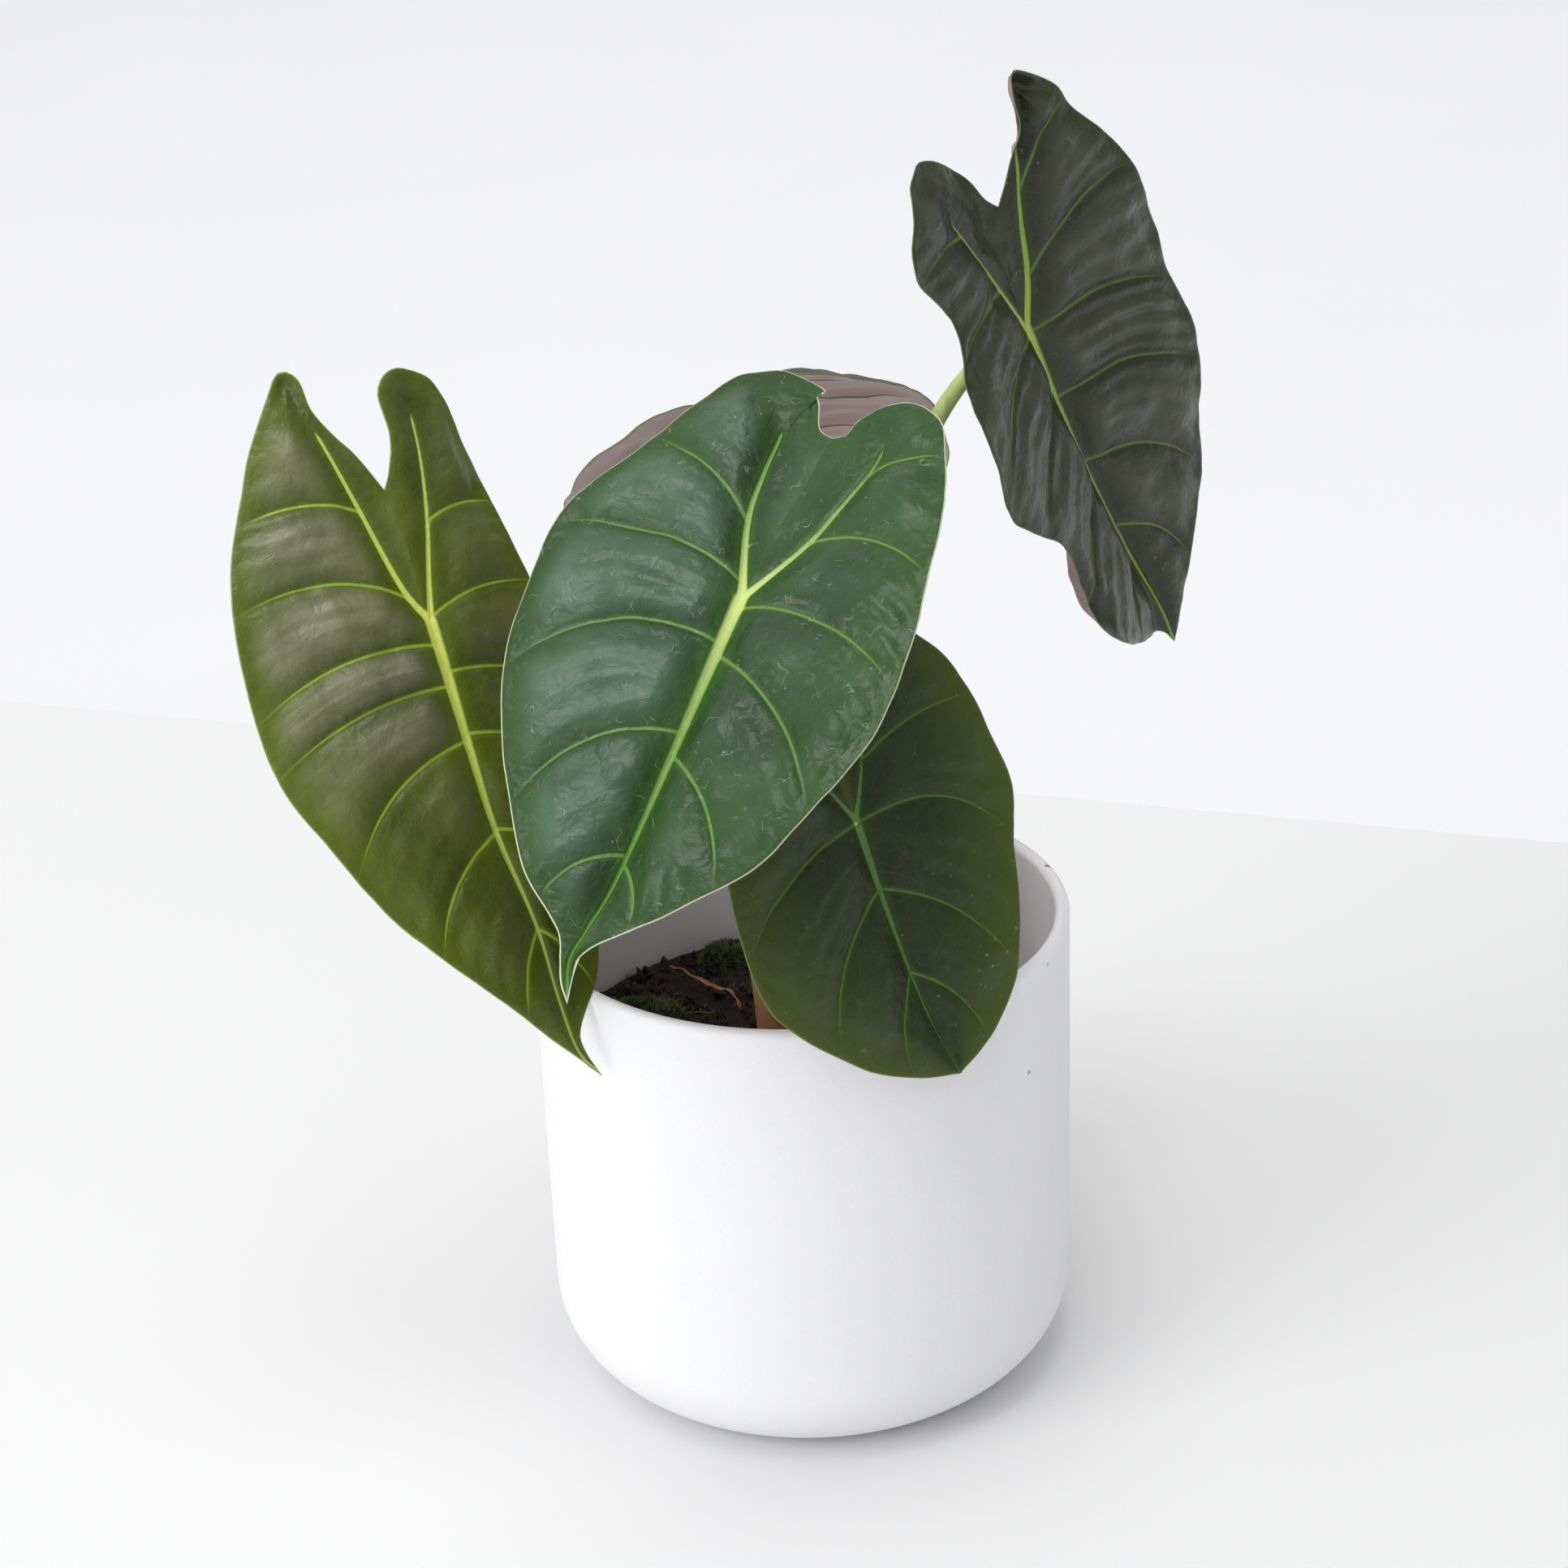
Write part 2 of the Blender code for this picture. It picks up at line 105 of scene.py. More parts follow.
def gridTriangles(rows, columns, aroundColumns=False, flip=False):
    # two triangles for each cell of a grid numbered row by row
    r, c = np.meshgrid(np.arange(rows - 1), np.arange(columns if aroundColumns else columns - 1), indexing="ij")
    n = (c + 1) % columns
    a, b, d, e = r * columns + c, (r + 1) * columns + c, (r + 1) * columns + n, r * columns + n
    triangles = np.concatenate([np.stack([a, b, d], -1).reshape(-1, 3), np.stack([a, d, e], -1).reshape(-1, 3)])
    return triangles[:, ::-1] if flip else triangles


def weld(points, triangles):
    # joins points in the same place and drops the triangles that this closes up
    _, kept, where = np.unique(np.round(points, 4), axis=0, return_index=True, return_inverse=True)
    triangles = where.reshape(-1)[triangles]
    sound = ((triangles[:, 0] != triangles[:, 1]) & (triangles[:, 1] != triangles[:, 2])
             & (triangles[:, 2] != triangles[:, 0]))
    return kept, triangles[sound]


def buildPiece(name, points, triangles, materials, values=None, flat=None, parts=None):
    # values: one number per point for each attribute; flat: two numbers per point for the UV map
    mesh = bpy.data.meshes.new(name)
    mesh.vertices.add(len(points))
    mesh.vertices.foreach_set("co", (np.asarray(points) * mm).astype(np.float32).ravel())
    mesh.loops.add(triangles.size)
    mesh.loops.foreach_set("vertex_index", triangles.astype(np.int32).ravel())
    mesh.polygons.add(len(triangles))
    mesh.polygons.foreach_set("loop_start", np.arange(0, triangles.size, 3, dtype=np.int32))
    mesh.polygons.foreach_set("use_smooth", np.ones(len(triangles), bool))
    for material in materials:
        mesh.materials.append(material)
    if parts is not None:
        mesh.polygons.foreach_set("material_index", parts.astype(np.int32))
    for key, numbers in (values or {}).items():
        mesh.attributes.new(key, "FLOAT", "POINT").data.foreach_set("value", numbers.astype(np.float32))
    if flat is not None:
        layer = mesh.uv_layers.new(name="UVMap")
        layer.data.foreach_set("uv", flat[triangles.ravel()].astype(np.float32).ravel())
    mesh.update(calc_edges=True)
    mesh.validate()
    piece = bpy.data.objects.new(name, mesh)
    bpy.context.scene.collection.objects.link(piece)
    return piece


def place(piece, slotName, *nodes):
    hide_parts(*nodes)
    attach(piece, "root")
    print(f"{piece.name}: {len(piece.data.polygons)} faces")


def linear(hexColour, strength=1.0):
    # sRGB hex to linear
    parts = np.array([int(hexColour[i:i + 2], 16) for i in (1, 3, 5)]) / 255.0
    parts = np.where(parts <= 0.04045, parts / 12.92, ((parts + 0.055) / 1.055) ** 2.4) * strength
    return (*[float(p) for p in parts], 1.0)


def newMaterial(name):
    material = bpy.data.materials.new(name)
    material.use_nodes = True
    return material, material.node_tree, material.node_tree.nodes["Principled BSDF"]


def addNode(tree, kind, inputs, **settings):
    # adds one shader node with its settings; an input takes a value or another node's output
    node = tree.nodes.new("ShaderNode" + kind)
    for key, value in settings.items():
        setattr(node, key, value)
    for key, value in inputs.items():
        if isinstance(value, bpy.types.NodeSocket):
            tree.links.new(value, node.inputs[key])
        else:
            node.inputs[key].default_value = value
    return node


def leafTop(name, look):
    # Living leaf blade with a waxy cuticle: deep matt colour, soft gloss from the cuticle with a painted grey sheen
    # laid on the crowns of the swellings, pale sunken veins, cream margin.
    material, tree, shader = newMaterial(name)
    place_ = addNode(tree, "TexCoord", {}).outputs["Object"]
    uv = addNode(tree, "UVMap", {}, uv_map="UVMap").outputs["UV"]
    value = {key: addNode(tree, "Attribute", {}, attribute_name=key).outputs["Fac"]
             for key in ("rib", "vein", "veinFade", "edge", "heart", "crown", "outward")}
    # clouds of colour about 22 mm across
    clouds = addNode(tree, "TexNoise", {"Vector": place_, "Scale": 45.0, "Detail": 3.0, "Roughness": 0.55})
    cloudy = addNode(tree, "MapRange", {"Value": clouds.outputs["Fac"], "From Min": 0.36, "From Max": 0.64})
    tone = addNode(tree, "Mix", {0: cloudy.outputs["Result"], 6: linear(look["deep"]), 7: linear(look["lamina"])},
                   data_type="RGBA")
    coats = []  # share and colour of each coat, from the lowest up
    # the blade is warmer towards its tip and its margin
    outer = addNode(tree, "MapRange", {"Value": value["outward"], "From Min": 0.45, "From Max": 1.0,
                                       "To Max": look["outerShare"]})
    coats.append((outer.outputs["Result"], linear(look["outer"])))
    # a greener band lies along the midrib and the side veins
    nearRib = addNode(tree, "MapRange", {"Value": value["rib"], "From Min": 3.6, "From Max": 0.9,
                                         "To Max": look["haloShare"]}, interpolation_type="SMOOTHSTEP")
    coats.append((nearRib.outputs["Result"], linear(look["halo"])))
    nearVein = addNode(tree, "MapRange", {"Value": value["vein"], "From Min": 3.4, "From Max": 1.0,
                                          "To Max": look["haloShare"] * 0.7}, interpolation_type="SMOOTHSTEP")
    nearVein = addNode(tree, "Math", {0: nearVein.outputs["Result"], 1: value["veinFade"]}, operation="MULTIPLY")
    coats.append((nearVein.outputs[0], linear(look["halo"])))
    # painted sheen: the pale patch colour is laid on the crowns of the swellings as if lit there, broken up by noise
    patches = addNode(tree, "TexNoise", {"Vector": place_, "Scale": 70.0, "Detail": 5.0, "Roughness": 0.6})
    patchy = addNode(tree, "MapRange", {"Value": patches.outputs["Fac"], "From Min": 0.28, "From Max": 0.68,
                                        "To Min": look["paintedSheenShare"] * 0.3, "To Max": look["paintedSheenShare"]})
    patchy = addNode(tree, "Math", {0: patchy.outputs["Result"], 1: value["crown"]}, operation="MULTIPLY")
    coats.append((patchy.outputs[0], linear(look["patch"])))
    # net of smallest veins, about 4 mm apart
    warp = addNode(tree, "TexNoise", {"Vector": place_, "Scale": 160.0, "Detail": 2.0})
    warped = addNode(tree, "VectorMath", {0: warp.outputs["Color"], 1: (0.004, 0.004, 0.004), 2: place_},
                     operation="MULTIPLY_ADD")
    net = addNode(tree, "TexVoronoi", {"Vector": warped.outputs[0], "Scale": 260.0}, feature="DISTANCE_TO_EDGE")
    netLine = addNode(tree, "MapRange", {"Value": net.outputs["Distance"], "From Min": 0.07, "From Max": 0.0,
                                         "To Max": 0.22})
    coats.append((netLine.outputs["Result"], linear(look["halo"])))
    # side veins, then midrib and lobe veins, palest at the joint
    onVein = addNode(tree, "MapRange", {"Value": value["vein"], "From Min": 1.1, "From Max": 0.3, "To Max": 0.85},
                     interpolation_type="SMOOTHSTEP")
    onVein = addNode(tree, "Math", {0: onVein.outputs["Result"], 1: value["veinFade"]}, operation="MULTIPLY")
    coats.append((onVein.outputs[0], linear(look["sideVein"])))
    ribTone = addNode(tree, "Mix", {0: value["heart"], 6: linear(look["ribFar"]), 7: linear(look["ribHeart"])},
                      data_type="RGBA")
    onRib = addNode(tree, "MapRange", {"Value": value["rib"], "From Min": 1.1, "From Max": 0.55},
                    interpolation_type="SMOOTHSTEP")
    coats.append((onRib.outputs["Result"], ribTone.outputs[2]))
    # thin pale line along the margin, about 0.25 mm wide
    onEdge = addNode(tree, "MapRange", {"Value": value["edge"], "From Min": look["marginWidth"] * 1.5,
                                        "From Max": look["marginWidth"] * 0.6})
    coats.append((onEdge.outputs["Result"], linear(look["margin"])))
    # scattered grains of dust, each about 0.4 mm
    grains = addNode(tree, "TexVoronoi", {"Vector": place_, "Scale": 330.0})
    few = addNode(tree, "TexNoise", {"Vector": place_, "Scale": 60.0})
    grainSize = addNode(tree, "MapRange", {"Value": few.outputs["Fac"], "From Min": 0.52, "From Max": 0.8,
                                           "To Max": 0.16})
    dusty = addNode(tree, "Math", {0: grains.outputs["Distance"], 1: grainSize.outputs["Result"]},
                    operation="LESS_THAN")
    dusty = addNode(tree, "Math", {0: dusty.outputs[0], 1: 0.28}, operation="MULTIPLY")
    coats.append((dusty.outputs[0], linear("#a9b5a4")))
    # short curled fibres of dust: a thin contour line of one noise, kept where a second one is high
    curls = addNode(tree, "TexNoise", {"Vector": place_, "Scale": 230.0, "Detail": 1.0})
    offLine = addNode(tree, "Math", {0: curls.outputs["Fac"], 1: 0.5, 2: 0.006}, operation="COMPARE")
    kept = addNode(tree, "TexNoise", {"Vector": place_, "Scale": 300.0, "Detail": 0.0})
    kept = addNode(tree, "MapRange", {"Value": kept.outputs["Fac"], "From Min": 0.6, "From Max": 0.68,
                                      "To Max": look["fibres"]})
    fibres = addNode(tree, "Math", {0: offLine.outputs[0], 1: kept.outputs["Result"]}, operation="MULTIPLY")
    coats.append((fibres.outputs[0], linear("#a9b5a4")))
    for share, colour in coats:
        tone = addNode(tree, "Mix", {0: share, 6: tone.outputs[2], 7: colour}, data_type="RGBA")
    tree.links.new(tone.outputs[2], shader.inputs["Base Color"])
    # the wax is thinner in places, so the sheen is uneven
    sheenClouds = addNode(tree, "TexNoise", {"Vector": place_, "Scale": 90.0, "Detail": 3.0})
    rough = addNode(tree, "MapRange", {"Value": sheenClouds.outputs["Fac"], "From Min": 0.3, "From Max": 0.7,
                                       "To Min": look["roughness"] - 0.06, "To Max": look["roughness"] + 0.07})
    tree.links.new(rough.outputs["Result"], shader.inputs["Roughness"])
    shader.inputs["IOR"].default_value = look["ior"]
    # fine ridges about 2.4 mm apart run along the side veins, over pores under a millimetre and the net of veins
    ridges = addNode(tree, "VectorMath", {0: uv, 1: (420.0, 90.0, 0.0)}, operation="MULTIPLY")
    ridges = addNode(tree, "TexNoise", {"Vector": ridges.outputs[0], "Scale": 1.0, "Detail": 4.0})
    ridges = addNode(tree, "Math", {0: ridges.outputs["Fac"], 1: value["crown"]}, operation="MULTIPLY")
    pores = addNode(tree, "TexNoise", {"Vector": place_, "Scale": 1400.0, "Detail": 1.0})
    relief = addNode(tree, "Bump", {"Height": pores.outputs["Fac"], "Strength": 0.16, "Distance": 0.0004})
    relief = addNode(tree, "Bump", {"Height": net.outputs["Distance"], "Strength": 0.35, "Distance": 0.0008,
                                    "Normal": relief.outputs[0]})
    relief = addNode(tree, "Bump", {"Height": ridges.outputs[0], "Strength": look["ridges"], "Distance": 0.0016,
                                    "Normal": relief.outputs[0]})
    tree.links.new(relief.outputs[0], shader.inputs["Normal"])
    return material


def leafUnderside(name, look):
    # Underside of the blade: duller skin flushed purple-brown, with yellow-green raised veins.
    material, tree, shader = newMaterial(name)
    place_ = addNode(tree, "TexCoord", {}).outputs["Object"]
    uv = addNode(tree, "UVMap", {}, uv_map="UVMap").outputs["UV"]
    value = {key: addNode(tree, "Attribute", {}, attribute_name=key).outputs["Fac"]
             for key in ("rib", "vein", "veinFade", "edge")}
    clouds = addNode(tree, "TexNoise", {"Vector": place_, "Scale": 60.0, "Detail": 3.0})
    tone = addNode(tree, "Mix", {0: clouds.outputs["Fac"], 6: linear(look["underDeep"]), 7: linear(look["under"])},
                   data_type="RGBA")
    coats = []  # share and colour of each coat, from the lowest up
    grain = addNode(tree, "VectorMath", {0: uv, 1: (900.0, 120.0, 0.0)}, operation="MULTIPLY")
    grain = addNode(tree, "TexNoise", {"Vector": grain.outputs[0], "Scale": 1.0, "Detail": 2.0})
    grainy = addNode(tree, "MapRange", {"Value": grain.outputs["Fac"], "From Min": 0.42, "From Max": 0.66,
                                        "To Max": 0.35})
    coats.append((grainy.outputs["Result"], linear(look["underDeep"])))
    onVein = addNode(tree, "MapRange", {"Value": value["vein"], "From Min": 1.5, "From Max": 0.5},
                     interpolation_type="SMOOTHSTEP")
    onVein = addNode(tree, "Math", {0: onVein.outputs["Result"], 1: value["veinFade"]}, operation="MULTIPLY")
    coats.append((onVein.outputs[0], linear(look["underVein"])))
    onRib = addNode(tree, "MapRange", {"Value": value["rib"], "From Min": 1.25, "From Max": 0.7},
                    interpolation_type="SMOOTHSTEP")
    coats.append((onRib.outputs["Result"], linear(look["underRib"])))
    onEdge = addNode(tree, "MapRange", {"Value": value["edge"], "From Min": look["marginWidth"] * 1.5,
                                        "From Max": look["marginWidth"] * 0.6})
    coats.append((onEdge.outputs["Result"], linear(look["margin"])))
    for share, colour in coats:
        tone = addNode(tree, "Mix", {0: share, 6: tone.outputs[2], 7: colour}, data_type="RGBA")
    tree.links.new(tone.outputs[2], shader.inputs["Base Color"])
    shader.inputs["Roughness"].default_value = 0.5
    shader.inputs["IOR"].default_value = 1.42
    relief = addNode(tree, "Bump", {"Height": grain.outputs["Fac"], "Strength": 0.25, "Distance": 0.0006})
    tree.links.new(relief.outputs[0], shader.inputs["Normal"])
    return material


def stalkSkin(name, look):
    # Fleshy leaf stalk: smooth moist skin, yellow-green above, flushed olive and red-brown at the foot.
    material, tree, shader = newMaterial(name)
    place_ = addNode(tree, "TexCoord", {}).outputs["Object"]
    rise = addNode(tree, "Attribute", {}, attribute_name="rise").outputs["Fac"]
    streaks = addNode(tree, "Mapping", {"Vector": place_, "Scale": (420.0, 420.0, 60.0)})
    streaks = addNode(tree, "TexNoise", {"Vector": streaks.outputs[0], "Scale": 1.0, "Detail": 3.0})
    uneven = addNode(tree, "Math", {0: streaks.outputs["Fac"], 1: 0.26, 2: rise}, operation="MULTIPLY_ADD")
    footward = addNode(tree, "MapRange", {"Value": uneven.outputs[0], "From Min": 0.2, "From Max": 0.42})
    tone = addNode(tree, "Mix", {0: footward.outputs["Result"], 6: linear(look["foot"]), 7: linear(look["middle"])},
                   data_type="RGBA")
    coats = []  # share and colour of each coat, from the lowest up
    upper = addNode(tree, "MapRange", {"Value": uneven.outputs[0], "From Min": 0.45, "From Max": 0.75})
    coats.append((upper.outputs["Result"], linear(look["upper"])))
    lines = addNode(tree, "MapRange", {"Value": streaks.outputs["Fac"], "From Min": 0.5, "From Max": 0.7,
                                       "To Max": 0.3})
    coats.append((lines.outputs["Result"], linear(look["streak"])))
    for share, colour in coats:
        tone = addNode(tree, "Mix", {0: share, 6: tone.outputs[2], 7: colour}, data_type="RGBA")
    tree.links.new(tone.outputs[2], shader.inputs["Base Color"])
    shader.inputs["Roughness"].default_value = 0.42
    shader.inputs["IOR"].default_value = 1.4
    shader.inputs["Subsurface Weight"].default_value = 0.12
    shader.inputs["Subsurface Radius"].default_value = (0.002, 0.003, 0.001)
    relief = addNode(tree, "Bump", {"Height": streaks.outputs["Fac"], "Strength": 0.2, "Distance": 0.0008})
    tree.links.new(relief.outputs[0], shader.inputs["Normal"])
    return material


def looseMatter(name, dark, light, accent, cell, accentShare=0.3, roughness=0.9):
    # Damp peat, bark, roots and moss: broken colour at the size of their grains, almost no gloss.
    material, tree, shader = newMaterial(name)
    place_ = addNode(tree, "TexCoord", {}).outputs["Object"]
    grains = addNode(tree, "TexVoronoi", {"Vector": place_, "Scale": 1.0 / (cell * mm)})
    tint = addNode(tree, "SeparateColor", {"Color": grains.outputs["Color"]})
    tone = addNode(tree, "Mix", {0: tint.outputs[0], 6: linear(dark), 7: linear(light)}, data_type="RGBA")
    patches = addNode(tree, "TexNoise", {"Vector": place_, "Scale": 0.25 / (cell * mm), "Detail": 4.0})
    share = addNode(tree, "MapRange", {"Value": patches.outputs["Fac"], "From Min": 0.48, "From Max": 0.62,
                                       "To Max": accentShare})
    tone = addNode(tree, "Mix", {0: share.outputs["Result"], 6: tone.outputs[2], 7: linear(accent)},
                   data_type="RGBA")
    tree.links.new(tone.outputs[2], shader.inputs["Base Color"])
    shader.inputs["Roughness"].default_value = roughness
    fine = addNode(tree, "TexNoise", {"Vector": place_, "Scale": 1.0 / (cell * 0.4 * mm), "Detail": 4.0})
    relief = addNode(tree, "Bump", {"Height": fine.outputs["Fac"], "Strength": 0.8, "Distance": 0.0008})
    tree.links.new(relief.outputs[0], shader.inputs["Normal"])
    return material


# In each leaf, the look's patch colour and its share make a painted sheen, and a tuple of three numbers shares it out
# between the left half, the right half and the tip.
leaves = {
    "leaf_left": {
        "joint": (-87, -19, 219), "heading": 42, "droop": 62, "roll": 10,
        "archTip": 6, "archLobes": 8, "twist": -4, "fold": (4, -12), "curl": (-9, -16),
        "midrib": [(0, 0), (-2, 30), (-3, 54), (-1, 80), (-2, 109), (3, 120)], "sinus": (1, -34),
        "marginLeft": [(1, -34), (-3, -44), (-6, -50), (-9, -58), (-9, -66), (-13, -69), (-19, -63), (-28, -52),
                       (-33, -44), (-44, -25), (-50, -3), (-51, 24), (-46, 42), (-37, 63), (-26, 81), (-14, 97),
                       (-6, 108), (3, 120)],
        "marginRight": [(1, -34), (4, -38), (8, -47), (9, -57), (15, -62), (23, -61), (29, -54), (31, -38),
                        (32, -22), (34, -2), (37, 18), (37, 42), (31, 63), (22, 81), (10, 97), (3, 104),
                        (0, 110), (3, 120)],
        "lobeVeinLeft": [(0, 0), (-4, -10), (-7, -31), (-9.5, -48), (-12, -60)],
        "lobeVeinRight": [(0, 0), (4, -10), (10, -24), (15, -39), (18, -53)],
        "sideLeft": [(-8, -31, -38, -36, -3), (-3, -7, -49, -16, -5.5), (-3, 6, -51, 10, -5), (-3, 16, -51, 24, -4),
                     (-3, 30, -42, 53, -6), (-3, 54, -28, 78, -4), (-1, 80, -12, 100, -2)],
        "sideRight": [(10, -23, 32, -24, -2), (1, -1, 34, -2, -3), (0, 13, 37, 27, -3), (-1, 29, 35, 51, -4),
                      (-2, 53, 24, 78, -4), (-1, 80, 8, 98, -2)],
        "ribWidth": 2.1, "quilt": 2.4, "wave": 1.2, "lump": 0.75,
        "rolls": [(-10, -64, 6, 1.2, 3.0, 0.6)], "ripple": 0.3, "paintedSheenSides": (1.0, 0.25, 0.1),
        "stalkAngle": 190, "stalkRise": 112, "stalkReach": 60, "stalkArrival": (-0.35, -0.7, 0.6),
        "slot": "blade_olive",
        "look": {"lamina": "#505a0c", "deep": "#3d4808", "patch": "#98967f", "paintedSheenShare": 0.7,
                 "outer": "#616f12", "outerShare": 0.5, "halo": "#56700c", "haloShare": 0.45,
                 "sideVein": "#9db832", "ribFar": "#b4c850", "ribHeart": "#d3e066", "margin": "#8d9a58",
                 "marginWidth": 0.24, "roughness": 0.33, "ior": 1.42, "ridges": 0.35, "fibres": 0.12,
                 "under": "#7d6a5a", "underDeep": "#5e4a42", "underVein": "#8d8a55", "underRib": "#9fae62"},
    },
    "leaf_centre": {
        "joint": (-11, -56, 236), "heading": -28, "droop": 33, "roll": 0,
        "archTip": 8, "archLobes": 8, "twist": -6, "fold": (16, 6), "curl": (-7, -7),
        "midrib": [(0, 0), (0, 44), (-1, 76), (-3, 90), (-4, 98), (-1, 107)], "sinus": (4, -49),
        "marginLeft": [(4, -49), (-1, -52), (-4, -59), (-6, -62), (-4, -63), (-6, -65), (-12, -67), (-18, -67),
                       (-26, -62), (-32, -52), (-40, -33), (-49, -11), (-49, 11), (-46, 31), (-38, 52), (-31, 65),
                       (-21, 81), (-12, 89), (-8, 93), (-6, 98), (-4, 103), (-1, 107)],
        "marginRight": [(4, -49), (7, -50), (9, -55), (15, -60), (21, -61), (27, -58), (31, -55), (34, -49),
                        (41, -30), (45, -8), (47, 20), (44, 39), (33, 63), (26, 72), (12, 84), (2, 91), (-2, 96),
                        (-2, 100), (-1, 107)],
        "lobeVeinLeft": [(0, 0), (-7, -21), (-9, -35), (-10, -50), (-13, -56)],
        "lobeVeinRight": [(0, 0), (10, -16), (14, -27), (18, -41), (18, -52)],
        "sideLeft": [(-7, -21, -37, -37, -3), (-3, -4, -49, -6, -5), (-1, 13, -44, 35, -9), (-1, 38, -30, 67, -7),
                     (-1, 70, -15, 86, -3)],
        "sideRight": [(18, -38, 36, -45, -2), (10, -17, 45, -10, -5), (1, 3, 46, 20, -6), (0, 16, 38, 53, -5),
                      (0, 44, 23, 75, -4), (-1, 72, 7, 89, -2)],
        "ribWidth": 2.3, "quilt": 2.8, "wave": 0.8, "lump": 0.7,
        "rolls": [(-4, -60, 4, 0.4, 1.6, 0.6)], "ripple": 0.3, "paintedSheenSides": (1.0, 0.25, 1.0),
        "stalkAngle": 275, "stalkRise": 80, "stalkReach": 45, "stalkArrival": (-0.1, -0.7, 0.6),
        "slot": "blade_green",
        "look": {"lamina": "#24450f", "deep": "#18340a", "patch": "#5f7c6a", "paintedSheenShare": 0.72,
                 "outer": "#29520f", "outerShare": 0.4, "halo": "#2f5c10", "haloShare": 0.5,
                 "sideVein": "#64893a", "ribFar": "#52802a", "ribHeart": "#c3d67a", "margin": "#d3d9b8",
                 "marginWidth": 0.24, "roughness": 0.34, "ior": 1.41, "ridges": 0.35, "fibres": 0.3,
                 "under": "#86706a", "underDeep": "#604c48", "underVein": "#8a8a62", "underRib": "#9aa86a"},
    },
    "leaf_upper": {
        "joint": (64, 38, 269), "heading": 134, "droop": 60, "roll": 60,
        "archTip": 2, "archLobes": 7, "twist": 0, "fold": (3, 38), "curl": (-12, -7),
        "midrib": [(0, 0), (-1, 23), (-1, 46), (2, 84), (4, 105), (4, 121)], "sinus": (9.2, -34.8),
        "marginLeft": [(9.2, -34.8), (6.6, -39.8), (4.9, -47), (1, -54), (-8, -64), (-15, -68), (-26, -68),
                       (-37, -63), (-42, -56),
                       (-39, -47), (-36, -37), (-40, -29), (-47, -23), (-51, 0), (-52, 14), (-47, 25),
                       (-38, 40), (-38, 55), (-36, 73), (-27, 89), (-11, 105), (1, 114), (4, 121)],
        "marginRight": [(9.2, -34.8), (13.8, -39.3), (17.7, -44.2), (22, -49), (24, -57), (27, -62),
                        (32, -57), (38, -48),
                        (40, -39), (47, -22), (49, -8), (49, 6), (47, 19), (48, 36), (45, 51), (35, 76),
                        (27, 88), (17, 101), (9, 114), (4, 121)],
        "lobeVeinLeft": [(0, 0), (-5, -19), (-8, -30), (-11, -42), (-15, -55)],
        "lobeVeinRight": [(0, 0), (8, -15), (15, -33), (20, -45), (23, -52)],
        "sideLeft": [(-11, -42, -40, -54, -2), (-5, -19, -42, -28, -3), (0, 1, -51, 10, -9), (-1, 19, -42, 32, -5),
                     (0, 50, -36, 74, -5), (2, 80, -16, 101, -3)],
        "sideRight": [(15, -33, 39, -44, -3), (7, -12, 49, -16, -5), (0, 1, 48, 22, -5), (-1, 23, 46, 50, -6),
                      (-1, 46, 33, 79, -6), (1, 72, 18, 100, -4)],
        "ribWidth": 2.3, "quilt": 2.8, "wave": 1.0, "lump": 0.8,
        "rolls": [(-37, 60, 15, 3.2, 4.5, 1.9), (22, -54, 11, 3.4, 3.6, 2.4)], "ripple": 0.5,
        "paintedSheenSides": (0.75, 1.0, 1.0),
        "stalkAngle": 46, "stalkRise": 90, "stalkReach": 40, "stalkArrival": (0.9, 0.25, 0.35),
        "slot": "blade_dark",
        "look": {"lamina": "#252911", "deep": "#191e0a", "patch": "#5f6156", "paintedSheenShare": 0.55,
                 "outer": "#36401a", "outerShare": 0.45, "halo": "#34460e", "haloShare": 0.4,
                 "sideVein": "#5a7826", "ribFar": "#7f9a34", "ribHeart": "#abc552", "margin": "#6a7a48",
                 "marginWidth": 0.22, "roughness": 0.34, "ior": 1.44, "ridges": 0.3, "fibres": 0.12,
                 "under": "#a08486", "underDeep": "#7a6062", "underVein": "#8a8560", "underRib": "#94a25e"},
    },
    "leaf_lower": {
        "joint": (14, -62, 181), "heading": 62, "droop": 68, "roll": 28,
        "archTip": 8, "archLobes": 6, "twist": 8, "fold": (8, 6), "curl": (-8, -10),
        "midrib": [(0, 0), (-1, 20), (-1, 40), (0, 55), (2, 69)], "sinus": (0, -24),
        "marginLeft": [(0, -24), (-4, -32), (-11, -40), (-20, -42), (-29, -36), (-35, -22), (-39.6, -4), (-42, 12),
                       (-41.4, 28), (-36, 39), (-26, 51), (-19, 58), (-8, 65), (2, 69)],
        "marginRight": [(0, -24), (4, -33), (12, -41), (22, -43), (30, -38), (35, -32), (39, -25), (41, -16),
                        (42, -5), (43, 6), (41, 15), (36, 26), (28.5, 44.5), (23.5, 54.5), (14.5, 62.5), (2, 69)],
        "lobeVeinLeft": [(0, 0), (-4, -10), (-8, -21), (-13, -32)],
        "lobeVeinRight": [(0, 0), (5, -8), (10, -18), (15, -31)],
        "sideLeft": [(-7, -18, -33, -27, -2), (0, 1, -41, 17, -5), (-1, 18, -27, 50, -6), (-1, 40, -10, 64, -3)],
        "sideRight": [(7, -12, 42, -14, -3), (0, 1, 38, 22, -8), (-1, 18, 24, 51, -5), (-1, 40, 11, 62, -3)],
        "ribWidth": 1.4, "quilt": 2.1, "wave": 0.6, "lump": 0.7,
        "rolls": [], "ripple": 0.2, "paintedSheenSides": (1.0, 0.7, 0.8),
